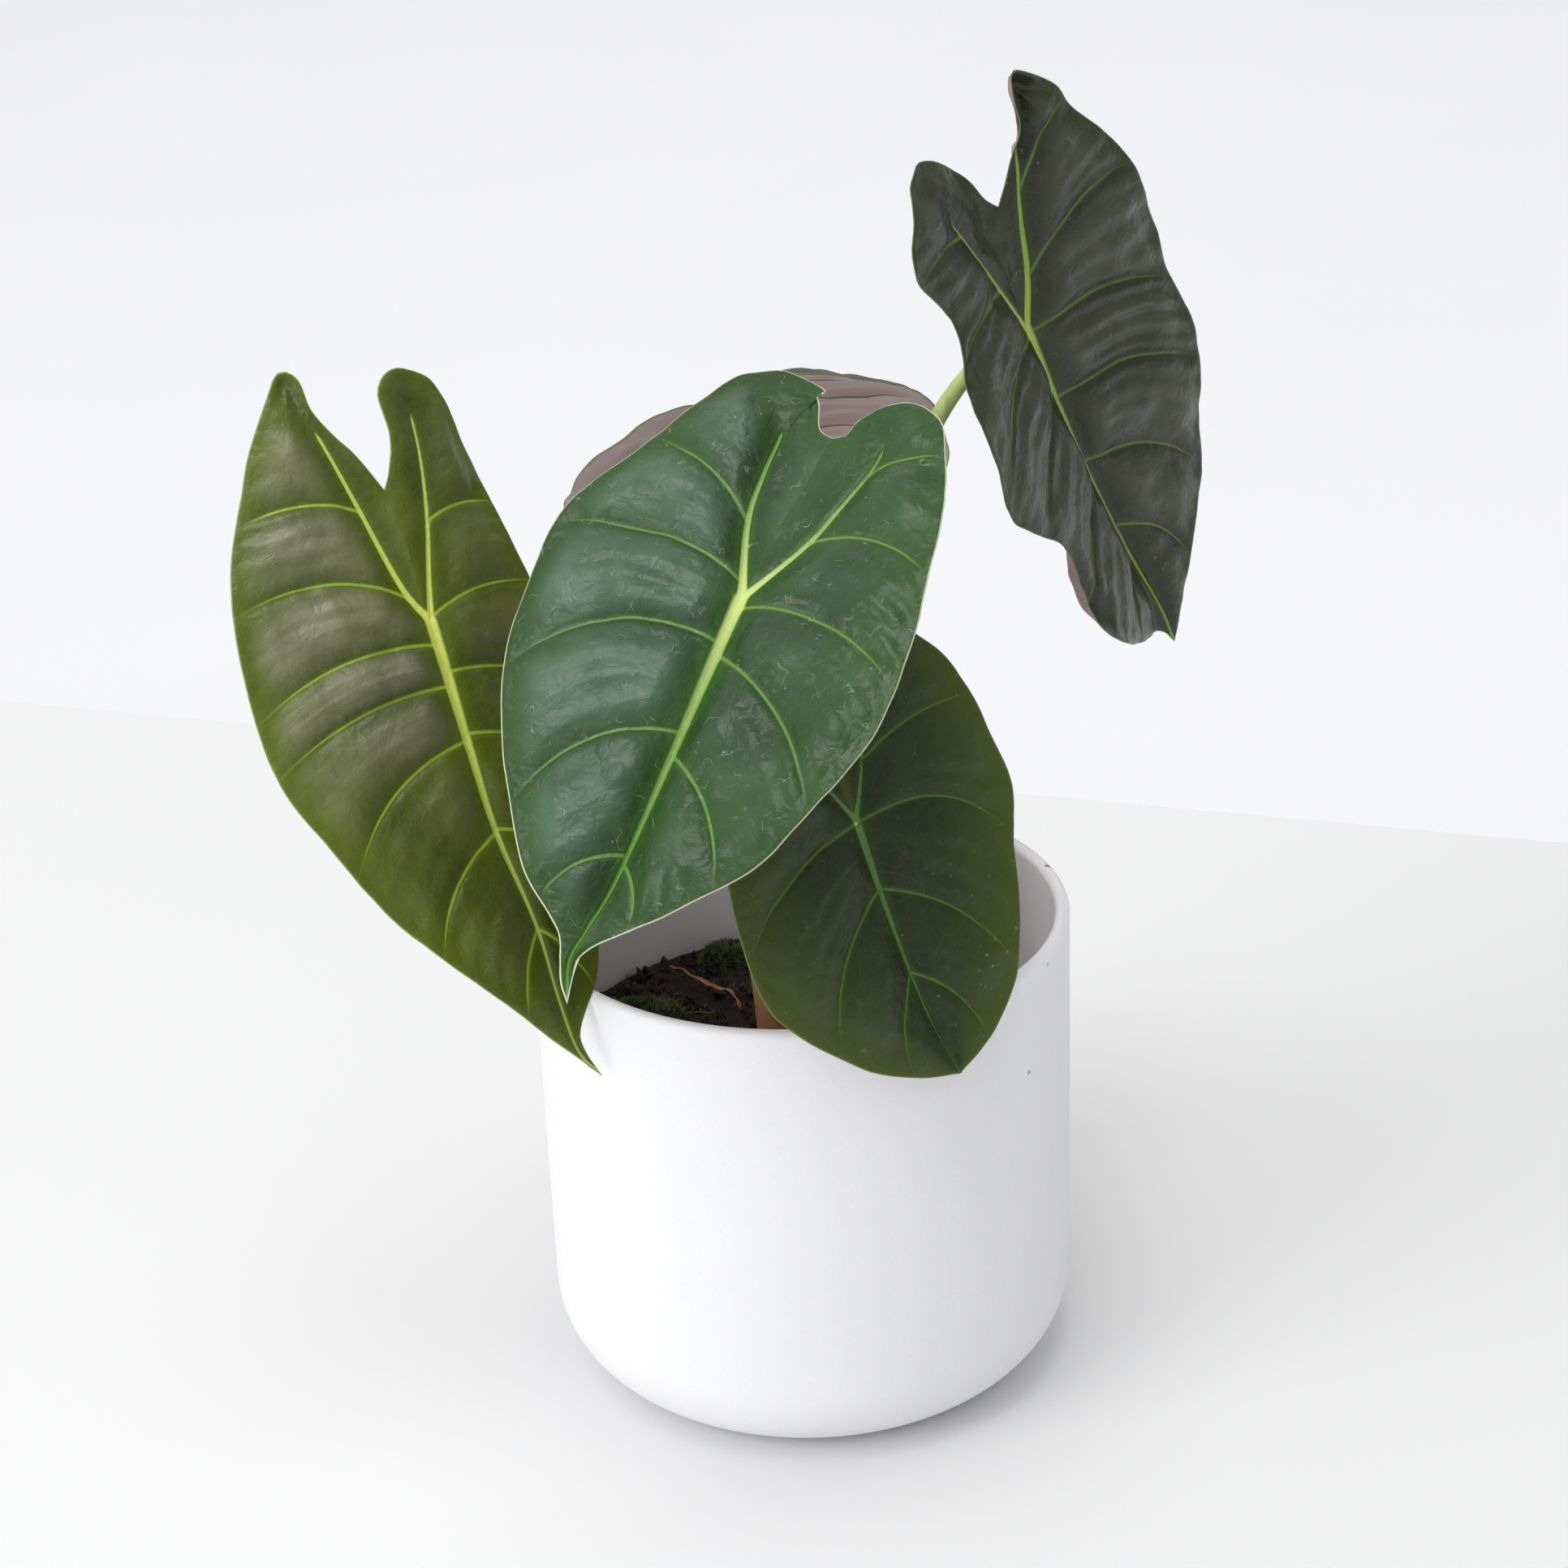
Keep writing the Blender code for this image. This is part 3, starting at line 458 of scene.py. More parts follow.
        "stalkAngle": 334, "stalkRise": 62, "stalkReach": 38, "stalkArrival": (0.1, -0.85, 0.35),
        "slot": "blade_olive",
        "look": {"lamina": "#26360d", "deep": "#182606", "patch": "#434f33", "paintedSheenShare": 0.4,
                 "outer": "#4b5a12", "outerShare": 0.75, "halo": "#2c5010", "haloShare": 0.4,
                 "sideVein": "#52741f", "ribFar": "#48682c", "ribHeart": "#5f8540", "margin": "#6d7a3e",
                 "marginWidth": 0.25, "roughness": 0.4, "ior": 1.37, "ridges": 0.3, "fibres": 0.1,
                 "under": "#7a6460", "underDeep": "#574541", "underVein": "#80805a", "underRib": "#8a9a5c"},
    },
    "leaf_back": {
        "joint": (-9, 58, 238), "heading": 160, "droop": 37, "roll": -20,
        "archTip": 14, "archLobes": 38, "twist": 0, "fold": (8, -16), "curl": (-32, -2),
        "midrib": [(0, 0), (0, 50), (0, 100), (1, 112)], "sinus": (0, -34),
        "marginLeft": [(0, -34), (-5, -44), (-11, -54), (-20, -58), (-31, -54), (-41, -40), (-49, -20), (-52, 0),
                       (-50, 22), (-43, 45), (-31, 68), (-17, 88), (-6, 101), (1, 112)],
        "marginRight": [(0, -34), (5, -45), (12, -56), (22, -60), (33, -54), (43, -38), (50, -18), (53, 2),
                        (50, 24), (43, 47), (32, 68), (18, 88), (7, 101), (1, 112)],
        "lobeVeinLeft": [(0, 0), (-4, -12), (-9, -27), (-15, -45)],
        "lobeVeinRight": [(0, 0), (4, -12), (10, -28), (16, -46)],
        "sideLeft": [(-10, -30, -42, -38, -2), (-4, -11, -52, -8, -5), (0, 6, -50, 24, -6), (0, 28, -40, 51, -6),
                     (0, 52, -28, 73, -5), (0, 78, -13, 93, -3)],
        "sideRight": [(11, -30, 45, -34, -2), (4, -11, 53, -6, -5), (0, 6, 50, 26, -6), (0, 28, 40, 53, -6),
                      (0, 52, 28, 73, -5), (0, 78, 13, 94, -3)],
        "ribWidth": 1.9, "quilt": 1.8, "wave": 1.2, "lump": 0.6,
        "rolls": [], "ripple": 0.3, "paintedSheenSides": (0.8, 0.8, 0.8),
        "stalkAngle": 118, "stalkRise": 80, "stalkReach": 45, "stalkArrival": (-0.05, 0.8, 0.45),
        "slot": "blade_dark",
        "look": {"lamina": "#37472c", "deep": "#243019", "patch": "#46523a", "paintedSheenShare": 0.5,
                 "outer": "#3f4f28", "outerShare": 0.3, "halo": "#42581c", "haloShare": 0.4,
                 "sideVein": "#728838", "ribFar": "#7f9a3c", "ribHeart": "#b0c665", "margin": "#7c8a58",
                 "marginWidth": 0.25, "roughness": 0.38, "ior": 1.44, "ridges": 0.3, "fibres": 0.12,
                 "under": "#d0bab7", "underDeep": "#aa9491", "underVein": "#75704a", "underRib": "#8d9460"},
    },
}
bladeGrid = {"lobeRows": 64, "tipRows": 140, "seamRows": 44, "columns": 72}
bladeBody = {"thickness": 0.75, "ribRise": 1.2, "sideVeinRise": 0.45, "ribSink": 0.5, "sideVeinSink": 0.28}


def leafAxes(leaf):
    # directions at the joint: to the tip, to the right, and out of the upper face
    heading, droop, roll = np.radians([leaf["heading"], leaf["droop"], leaf["roll"]])
    tipward = np.array([np.sin(heading) * np.cos(droop), -np.cos(heading) * np.cos(droop), -np.sin(droop)])
    level = np.array([np.cos(heading), np.sin(heading), 0.0])
    across = np.cos(roll) * level + np.sin(roll) * np.cross(tipward, level)
    return tipward, across, np.cross(tipward, across)


def arcOffset(curvature, length):
    # an arc of this curvature and length goes sin(kL)/k forwards and (1 - cos(kL))/k sideways
    curvature = np.where(np.abs(curvature) < 1e-6, 1e-6, curvature)
    return np.sin(curvature * length) / curvature, (1.0 - np.cos(curvature * length)) / curvature


def bendBlade(leaf, flat):
    # The midrib is an arc in the leaf's upright plane.  Each half leaves it at its fold angle and curls as an arc;
    # the crease is rounded over a few millimetres and opens out between the lobes.
    across, along = flat[:, 0], flat[:, 1]
    tipward, sideways, outward = leafAxes(leaf)
    curvature = np.radians(np.where(along > 0, leaf["archTip"], leaf["archLobes"])) / 100.0
    forward, sag = arcOffset(curvature, along)
    turn = (curvature * along)[:, None]
    normal = np.cos(turn) * outward + np.sin(turn) * tipward
    spine = np.array(leaf["joint"], float) + forward[:, None] * tipward - sag[:, None] * outward
    twist = np.radians(leaf["twist"] * along / 100.0)[:, None]
    right = np.cos(twist) * sideways + np.sin(twist) * normal
    raised = np.cos(twist) * normal - np.sin(twist) * sideways
    fold = np.radians(np.where(across < 0, leaf["fold"][0], leaf["fold"][1]))
    curl = np.radians(np.where(across < 0, leaf["curl"][0], leaf["curl"][1])) / 50.0
    distance = np.abs(across)
    reach = (np.sin(fold + curl * distance) - np.sin(fold)) / curl
    softness = 2.5 + 6.0 * easeStep(-along, 0.0, 35.0)
    eased = np.sqrt(distance ** 2 + softness ** 2) - softness * np.exp(-(distance / (2.0 * softness)) ** 2)
    lift = (np.cos(fold) - np.cos(fold + curl * eased)) / curl
    return spine + (np.sign(across) * reach)[:, None] * right + lift[:, None] * raised


def halfBlade(leaf, side):
    # Flat points of one half.  A rib is a quadratic Bezier from the spine to the margin:
    # (1-t)^2 start + 2t(1-t) middle + t^2 end.  The side veins are ribs, and the ribs between them are mixed.
    which = "Left" if side < 0 else "Right"
    lobeRows, tipRows = bladeGrid["lobeRows"], bladeGrid["tipRows"]
    lobeVein = smoothPath(leaf["lobeVein" + which], lobeRows + 1)
    spine = np.vstack([lobeVein[::-1], smoothPath(leaf["midrib"], tipRows + 1)[1:]])
    margin = smoothPath(leaf["margin" + which], 600)
    heading = unit(lobeVein[-1] - lobeVein[-4])
    apexShare = nearestShare(margin[:300], lobeVein[-1] + 14.0 * heading)
    apexIndex = int(round(apexShare * 299))
    inner, outer = margin[:apexIndex + 1], margin[apexIndex:]
    # rows of the side veins, and how far round the margin each one ends
    rows = len(spine)
    knots = [(0, 0.0, 0.0)]
    for startAcross, startAlong, endAcross, endAlong, bow in leaf["side" + which]:
        row = int(np.argmin(np.linalg.norm(spine - (startAcross, startAlong), axis=1)))
        knots.append((row, nearestShare(outer, np.array([endAcross, endAlong])), bow))
    knots.append((rows - 1, 1.0, 0.0))
    knotRows, ends, bows = (np.array(k, float) for k in zip(*knots))
    index = np.arange(rows)
    ends = pathAt(outer, np.interp(index, knotRows, ends))
    bow = np.interp(index, knotRows, bows)[:, None]
    chord = ends - spine
    baseward = np.column_stack([-chord[:, 1], chord[:, 0]]) * side  # square to the chord, towards the tip
    middle = (spine + ends) / 2.0 + 2.0 * bow * unit(baseward)
    steps = np.linspace(0.0, 1.0, bladeGrid["columns"] + 1)
    steps = (steps - 0.35 * np.sin(2.0 * np.pi * steps) / (2.0 * np.pi))[:, None]
    outerPatch = ((1 - steps) ** 2 * spine[:, None] + 2 * steps * (1 - steps) * middle[:, None]
                  + steps ** 2 * ends[:, None])
    # between the lobe vein and the sinus, straight ribs
    seam = bladeGrid["seamRows"]
    sinus = np.array(leaf["sinus"], float)
    outward = np.arange(lobeRows + 1)
    alongSeam = sinus * np.clip(outward / seam, 0.0, 1.0)[:, None]
    alongMargin = pathAt(inner, np.clip((outward - seam) / (lobeRows - seam), 0.0, 1.0))
    far = np.where((outward < seam)[:, None], alongSeam, alongMargin)[::-1]
    innerPatch = lobeVein[::-1][:, None] * (1 - steps) + far[:, None] * steps
    # share of the way from one side vein to the next
    between = np.interp(index, knotRows, np.arange(len(knotRows)))
    veins = [outerPatch[int(row)][::4] for row, _, _ in knots[1:-1]]
    return {"outer": outerPatch, "inner": innerPatch, "spine": spine, "margin": margin,
            "between": between, "steps": steps[:, 0], "veins": veins}


def makeBlade(name, leaf):
    points, triangles, fields = [], [], {key: [] for key in ("between", "out", "inner", "side")}
    halves = {side: halfBlade(leaf, side) for side in (-1, 1)}
    offset = 0
    for side, half in halves.items():
        for key, flip in (("outer", side < 0), ("inner", side > 0)):
            patch = half[key]
            rows, columns = patch.shape[:2]
            points.append(patch.reshape(-1, 2))
            triangles.append(gridTriangles(rows, columns, flip=flip) + offset)
            fields["between"].append(np.repeat(half["between"][:rows], columns))
            fields["out"].append(np.tile(half["steps"], rows))
            fields["inner"].append(np.full(rows * columns, float(key == "inner")))
            fields["side"].append(np.full(rows * columns, float(side)))
            offset += rows * columns
    kept, triangles = weld(np.vstack(points), np.vstack(triangles))
    flat = np.vstack(points)[kept]
    fields = {key: np.concatenate(value)[kept] for key, value in fields.items()}
    across, along = flat.T

    # distances in the flat blade
    left, right = fields["side"] < 0, fields["side"] > 0
    sideDistance = np.zeros(len(flat))
    spinePath = halves[1]["spine"][bladeGrid["lobeRows"]:]
    middleDistance = distanceTo(flat, spinePath)
    bothMargins = np.vstack([halves[-1]["margin"][::-4], halves[1]["margin"][::4]])
    edge = distanceTo(flat, bothMargins)
    lobeDistance = np.minimum(distanceTo(flat, halves[-1]["spine"][:bladeGrid["lobeRows"] + 1]),
                              distanceTo(flat, halves[1]["spine"][:bladeGrid["lobeRows"] + 1]))
    for mask, key in ((left, -1), (right, 1)):
        sideDistance[mask] = np.min([distanceTo(flat[mask], vein) for vein in halves[key]["veins"]], axis=0)
    total = leaf["midrib"][-1][1]
    fromJoint = np.hypot(across, along)
    # half widths: the midrib thins to a fifth at the tip, a lobe vein starts at under half its width
    midWidth = leaf["ribWidth"] * (1.0 - 0.82 * easeStep(along / total, -0.15, 0.9) ** 0.7)
    lobeLength = np.linalg.norm(halves[-1]["spine"][0])
    lobeWidth = leaf["ribWidth"] * (0.42 - 0.22 * easeStep(fromJoint, 0.0, lobeLength)
                                    + 0.3 * np.exp(-fromJoint / 3.0))
    lobeEnd = easeStep(fromJoint, 0.84 * lobeLength, 0.98 * lobeLength)
    rib = np.minimum(middleDistance / midWidth, lobeDistance / lobeWidth + 6.0 * lobeEnd)
    veinWidth = 0.26 + 0.32 * (1.0 - fields["out"]) ** 0.8 * (leaf["ribWidth"] / 2.0)
    vein = sideDistance / veinWidth + 6.0 * fields["inner"]
    veinFade = 1.0 - 0.85 * easeStep(fields["out"], 0.68, 0.97)
    ribDistance = np.minimum(middleDistance, lobeDistance)

    # height above the bent sheet: quilting between the side veins, waves at the margin, small lumps
    swell = np.abs(np.sin(np.pi * fields["between"]))
    between = np.where(fields["between"] < 0.5, swell ** 2, swell ** 0.85)
    inland = easeStep(edge, 0.0, 11.0)
    patchy = 0.75 + 0.35 * softNoise(flat, 24.0, 6.0)
    quilt = leaf["quilt"] * between * patchy * easeStep(ribDistance, 0.4, 10.0) * inland
    ripple = leaf["ripple"] * np.sin(2.0 * np.pi * 4.0 * fields["between"] + 1.5 * softNoise(flat, 15.0, 2.0))
    ripple = ripple * easeStep(ribDistance, 4.0, 16.0) * easeStep(edge, 0.0, 5.0)
    ripple = ripple * (0.6 + 0.6 * softNoise(flat, 20.0, 7.0))
    fromApex = easeStep(fields["between"], 0.0, 0.45)
    quilt = (quilt + ripple * fromApex) * (1.0 - fields["inner"])
    nearLobe = np.where(along < 0, 1.0 - lobeEnd, 1.0)
    channel = -1.1 * np.exp(-ribDistance / 3.0) * easeStep(edge, 1.0, 12.0) * nearLobe
    # painted sheen lies on the crown of each swelling, with its own share on each half and towards the tip
    leftShare, rightShare, tipShare = leaf["paintedSheenSides"]
    crown = np.where(fields["inner"] > 0.5, 0.45, between * fromApex + 0.25 * (1.0 - fromApex))
    crown = crown * easeStep(ribDistance, 1.5, 11.0) * easeStep(edge, 1.0, 9.0)
    crown = crown * np.where(fields["side"] < 0, leftShare, rightShare)
    crown = crown * (1.0 - (1.0 - tipShare) * easeStep(along / total, 0.0, 0.5))
    waves = leaf["wave"] * np.sin(along / 8.5 + 1.7 * fields["side"] + across / 30.0) * fields["out"] ** 3
    waves = waves * (1.0 - fields["inner"]) * fromApex * easeStep(total - along, 0.0, 25.0)
    lumps = leaf["lump"] * (softNoise(flat, 11.0, 3.0) + 0.4 * softNoise(flat, 4.5, 8.0))
    lumps = lumps * easeStep(ribDistance, 0.5, 6.0)
    rolled = np.zeros(len(flat))
    for rollAcross, rollAlong, radius, bulge, depth, lift in leaf["rolls"]:
        window = np.exp(-(((across - rollAcross) ** 2 + (along - rollAlong) ** 2) / radius ** 2) ** 2)
        rolled += window * (lift * np.exp(-(2.0 * edge / depth) ** 2)
                            - bulge * np.exp(-((edge - depth) / (0.7 * depth)) ** 2))
    height = quilt + channel + waves + lumps + rolled
    half = 0.5 * bladeBody["thickness"] * np.sqrt(np.clip(edge / 1.2, 0.0, 1.0))
    solid = easeStep(edge, 0.0, 1.5)
    sunk = (bladeBody["ribSink"] * np.exp(-rib ** 2) * (1.0 - 0.7 * np.exp(-fromJoint / 30.0))
            + bladeBody["sideVeinSink"] * veinFade * np.exp(-vein ** 2)) * solid
    raised = (bladeBody["ribRise"] * np.exp(-0.6 * rib ** 2)
              + bladeBody["sideVeinRise"] * veinFade * np.exp(-0.6 * vein ** 2)) * solid

    sheet = bendBlade(leaf, flat)
    step = 0.4
    alongStep = bendBlade(leaf, flat + (0, step)) - bendBlade(leaf, flat - (0, step))
    acrossStep = bendBlade(leaf, flat + (step, 0)) - bendBlade(leaf, flat - (step, 0))
    normal = unit(np.cross(alongStep, acrossStep))
    top = sheet + (height + half - sunk)[:, None] * normal
    bottom = sheet + (height - half - raised)[:, None] * normal

    # points on the margin are shared by both faces, so the shell closes there
    edges = np.sort(np.vstack([triangles[:, [0, 1]], triangles[:, [1, 2]], triangles[:, [2, 0]]]), axis=1)
    lines, counts = np.unique(edges, axis=0, return_counts=True)
    onMargin = np.zeros(len(flat), bool)
    onMargin[np.unique(lines[counts == 1])] = True
    lowerIndex = np.where(onMargin, np.arange(len(flat)), np.arange(len(flat)) + len(flat))
    allPoints = np.vstack([top, bottom])
    allTriangles = np.vstack([triangles, lowerIndex[triangles][:, ::-1]])
    used = np.unique(allTriangles)
    renumber = np.zeros(len(allPoints), int)
    renumber[used] = np.arange(len(used))
    # the crown attribute is the mask of the painted sheen
    values = {"rib": rib, "vein": vein, "veinFade": veinFade * (1.0 - fields["inner"]), "edge": edge,
              "heart": np.exp(-fromJoint / 26.0), "crown": crown, "outward": fields["out"]}
    values = {key: np.tile(number, 2)[used] for key, number in values.items()}
    uv = np.column_stack([fields["between"] * 18.0, fields["out"] * 48.0]) * mm
    materials = [leafTop(f"waxy leaf upper skin {name}", leaf["look"]),
                 leafUnderside(f"leaf underside {name}", leaf["look"])]
    parts = np.repeat([0, 1], len(triangles))
    piece = buildPiece(name, allPoints[used], renumber[allTriangles], materials, values,
                       np.tile(uv, (2, 1))[used], parts)
    place(piece, leaf["slot"], name + "_blade")


stalk = {"centre": (2, -8), "ringRadius": 8.6, "foot": 83, "footRadius": 6.0, "endRadius": 1.9,
         "rings": 120, "sides": 28,
         "look": {"foot": "#a87c58", "middle": "#aba468", "upper": "#b4cb7c", "streak": "#5e5c30"}}


def makeTube(route, radius, reference, sides):
    # circles of the given radius, square to the route
    tangent = unit(np.gradient(route, axis=0))
    first = unit(np.cross(tangent, reference))
    second = np.cross(tangent, first)
    angle = np.linspace(0.0, 2.0 * np.pi, sides, endpoint=False)
    ring = (np.cos(angle)[None, :, None] * first[:, None] + np.sin(angle)[None, :, None] * second[:, None])
    points = (route[:, None] + radius[:, None, None] * ring).reshape(-1, 3)
    triangles = gridTriangles(len(route), sides, aroundColumns=True, flip=True)
    kept, triangles = weld(points, triangles)
    return points[kept], triangles, kept


def makeStalk(name, leaf, material):
    # cubic Bezier: up from the foot, then into the underside of the joint
    bearing = np.radians(leaf["stalkAngle"])
    out = np.array([np.cos(bearing), np.sin(bearing), 0.0])
    foot = np.array([*stalk["centre"], stalk["foot"]]) + stalk["ringRadius"] * out
    arrival = unit(np.array(leaf["stalkArrival"], float))
    normal = leafAxes(leaf)[2]
    end = np.array(leaf["joint"], float) - 3.6 * normal
    first = foot + leaf["stalkRise"] * np.array([0.0, 0.0, 1.0])
    last = end - leaf["stalkReach"] * arrival
    t = np.linspace(0.0, 1.0, stalk["rings"] - 8)[:, None]
    route = (1 - t) ** 3 * foot + 3 * (1 - t) ** 2 * t * first + 3 * (1 - t) * t ** 2 * last + t ** 3 * end
    # the last few rings carry on and turn into the joint
    more = np.linspace(0.0, 1.0, 9)[1:, None]
    joint = np.array(leaf["joint"], float) - 3.3 * normal + 3.0 * leafAxes(leaf)[0]
    bendEnd = (1 - more) ** 2 * end + 2 * more * (1 - more) * (end + 1.6 * arrival) + more ** 2 * joint
    route = np.vstack([route, bendEnd])
    share = np.concatenate([t[:, 0], np.ones(8)])
    radius = stalk["endRadius"] + (stalk["footRadius"] - stalk["endRadius"]) * (1.0 - share) ** 1.6
    radius = radius * (1.0 + 0.02 * softNoise(route, 14.0, 5.0))
    radius[:3] *= [0.0, 0.8, 0.95]
    radius[-3:] *= [0.8, 0.5, 0.0]
    reference = unit(np.cross([0.0, 0.0, 1.0], end - foot))
    points, triangles, kept = makeTube(route, radius, reference, stalk["sides"])
    rise = np.repeat(share, stalk["sides"])[kept]
    piece = buildPiece(name + "_stalk_skin", points, triangles, [material], {"rise": rise})
    place(piece, "stalk_green", name + "_stalk")


stalkMaterial = stalkSkin("fleshy stalk skin", stalk["look"])
for leafName, leafValues in leaves.items():
    makeBlade(leafName, leafValues)
    makeStalk(leafName, leafValues, stalkMaterial)


pot = {"radius": 70.0, "height": 128.8, "wall": 3.8, "floor": 5.0, "baseRound": 24.0, "sides": 224,
       "colour": "#f1f1f4", "warm": "#ebebec", "grain": "#e2e2e6",
       "chips": [(66.1, 17.6, 128.3, 0.9), (58.5, -34.7, 127.2, 0.7), (56.0, -42.2, 100.0, 0.55),
                 (61.6, -33.5, 126.0, 0.4)]}


def arcPoints(centre, radius, start, end, count):
    # arc in the (radius, height) plane, angles in degrees
    angle = np.radians(np.linspace(start, end, count))
    return np.column_stack([centre[0] + radius * np.cos(angle), centre[1] + radius * np.sin(angle)])


def makeTurned(profile, sides):
    # the (radius, height) profile carried round Z; both its ends are on the axis
    angle = np.linspace(0.0, 2.0 * np.pi, sides, endpoint=False)
    points = np.stack([profile[:, :1] * np.cos(angle), profile[:, :1] * np.sin(angle),
                       np.repeat(profile[:, 1:], sides, axis=1)], axis=-1).reshape(-1, 3)
    return points, gridTriangles(len(profile), sides, aroundColumns=True)


def glazedCeramic():
    # Slip-cast stoneware with a matt white glaze: soft broad gloss, faint casting waves, fine tooth, a few pin holes.
    material, tree, shader = newMaterial("matt glazed stoneware")
    place_ = addNode(tree, "TexCoord", {}).outputs["Object"]
    clouds = addNode(tree, "TexNoise", {"Vector": place_, "Scale": 30.0, "Detail": 3.0})
    tone = addNode(tree, "Mix", {0: clouds.outputs["Fac"], 6: linear(pot["colour"]), 7: linear(pot["warm"])},
                   data_type="RGBA")
    tooth = addNode(tree, "TexNoise", {"Vector": place_, "Scale": 900.0, "Detail": 3.0})
    speckle = addNode(tree, "MapRange", {"Value": tooth.outputs["Fac"], "From Min": 0.6, "From Max": 0.8,
                                         "To Max": 0.5})
    tone = addNode(tree, "Mix", {0: speckle.outputs["Result"], 6: tone.outputs[2], 7: linear(pot["grain"])},
                   data_type="RGBA")
    ragged = addNode(tree, "TexNoise", {"Vector": place_, "Scale": 1800.0})
    for x, y, z, size in pot["chips"]:  # small knocks in the glaze, each under a millimetre
        away = addNode(tree, "VectorMath", {0: place_, 1: (x * mm, y * mm, z * mm)}, operation="DISTANCE")
        ragAway = addNode(tree, "Math", {0: ragged.outputs["Fac"], 1: 0.0007, 2: away.outputs["Value"]},
                          operation="MULTIPLY_ADD")
        inside = addNode(tree, "MapRange", {"Value": ragAway.outputs[0], "From Min": (size + 0.5) * mm,
                                            "From Max": (size + 0.2) * mm, "To Max": 0.8})
        tone = addNode(tree, "Mix", {0: inside.outputs["Result"], 6: tone.outputs[2], 7: linear("#4a4a52")},
                       data_type="RGBA")
    tree.links.new(tone.outputs[2], shader.inputs["Base Color"])
    shader.inputs["Roughness"].default_value = 0.52
    shader.inputs["IOR"].default_value = 1.48
    waves = addNode(tree, "TexNoise", {"Vector": place_, "Scale": 16.0, "Detail": 1.0})
    relief = addNode(tree, "Bump", {"Height": waves.outputs["Fac"], "Strength": 0.15, "Distance": 0.002})
    relief = addNode(tree, "Bump", {"Height": tooth.outputs["Fac"], "Strength": 0.12, "Distance": 0.0003,
                                    "Normal": relief.outputs[0]})
    tree.links.new(relief.outputs[0], shader.inputs["Normal"])
    return material


def makePot():
    inside, lip = pot["radius"] - pot["wall"], pot["wall"] / 2.0
    innerRound = pot["baseRound"] - pot["wall"]
    wallHeights = np.linspace(pot["floor"] + innerRound, pot["height"] - lip, 40)[1:-1]
    outerHeights = np.linspace(pot["height"] - lip, pot["baseRound"], 40)[1:-1]
    profile = np.vstack([
        [(0.0, pot["floor"])],
        arcPoints((inside - innerRound, pot["floor"] + innerRound), innerRound, -90, 0, 20),
        np.column_stack([np.full(38, inside), wallHeights]),
        arcPoints((inside + lip, pot["height"] - lip), lip, 180, 0, 18),
        np.column_stack([np.full(38, pot["radius"]), outerHeights]),
        arcPoints((pot["radius"] - pot["baseRound"], pot["baseRound"]), pot["baseRound"], 0, -90, 26),
        [(0.0, 0.0)]])
    points, triangles = makeTurned(profile, pot["sides"])
    kept, triangles = weld(points, triangles)
    piece = buildPiece("planter", points[kept], triangles, [glazedCeramic()])
    place(piece, "planter_ceramic", "pot")


makePot()


sheath = {"route": [(-36.5, 40.6, 91.4), (-31.5, 33.5, 92.8), (-25.5, 27, 92.2), (-19.5, 18.5, 93.8),
                    (-16.8, 7.5, 95.0)],
          "widths": (1.2, 1.8, 2.4, 3.6), "thickness": 0.45, "spans": 90, "across": 14,
          "dark": "#7c422a", "light": "#c07a52", "pale": "#d6a580"}


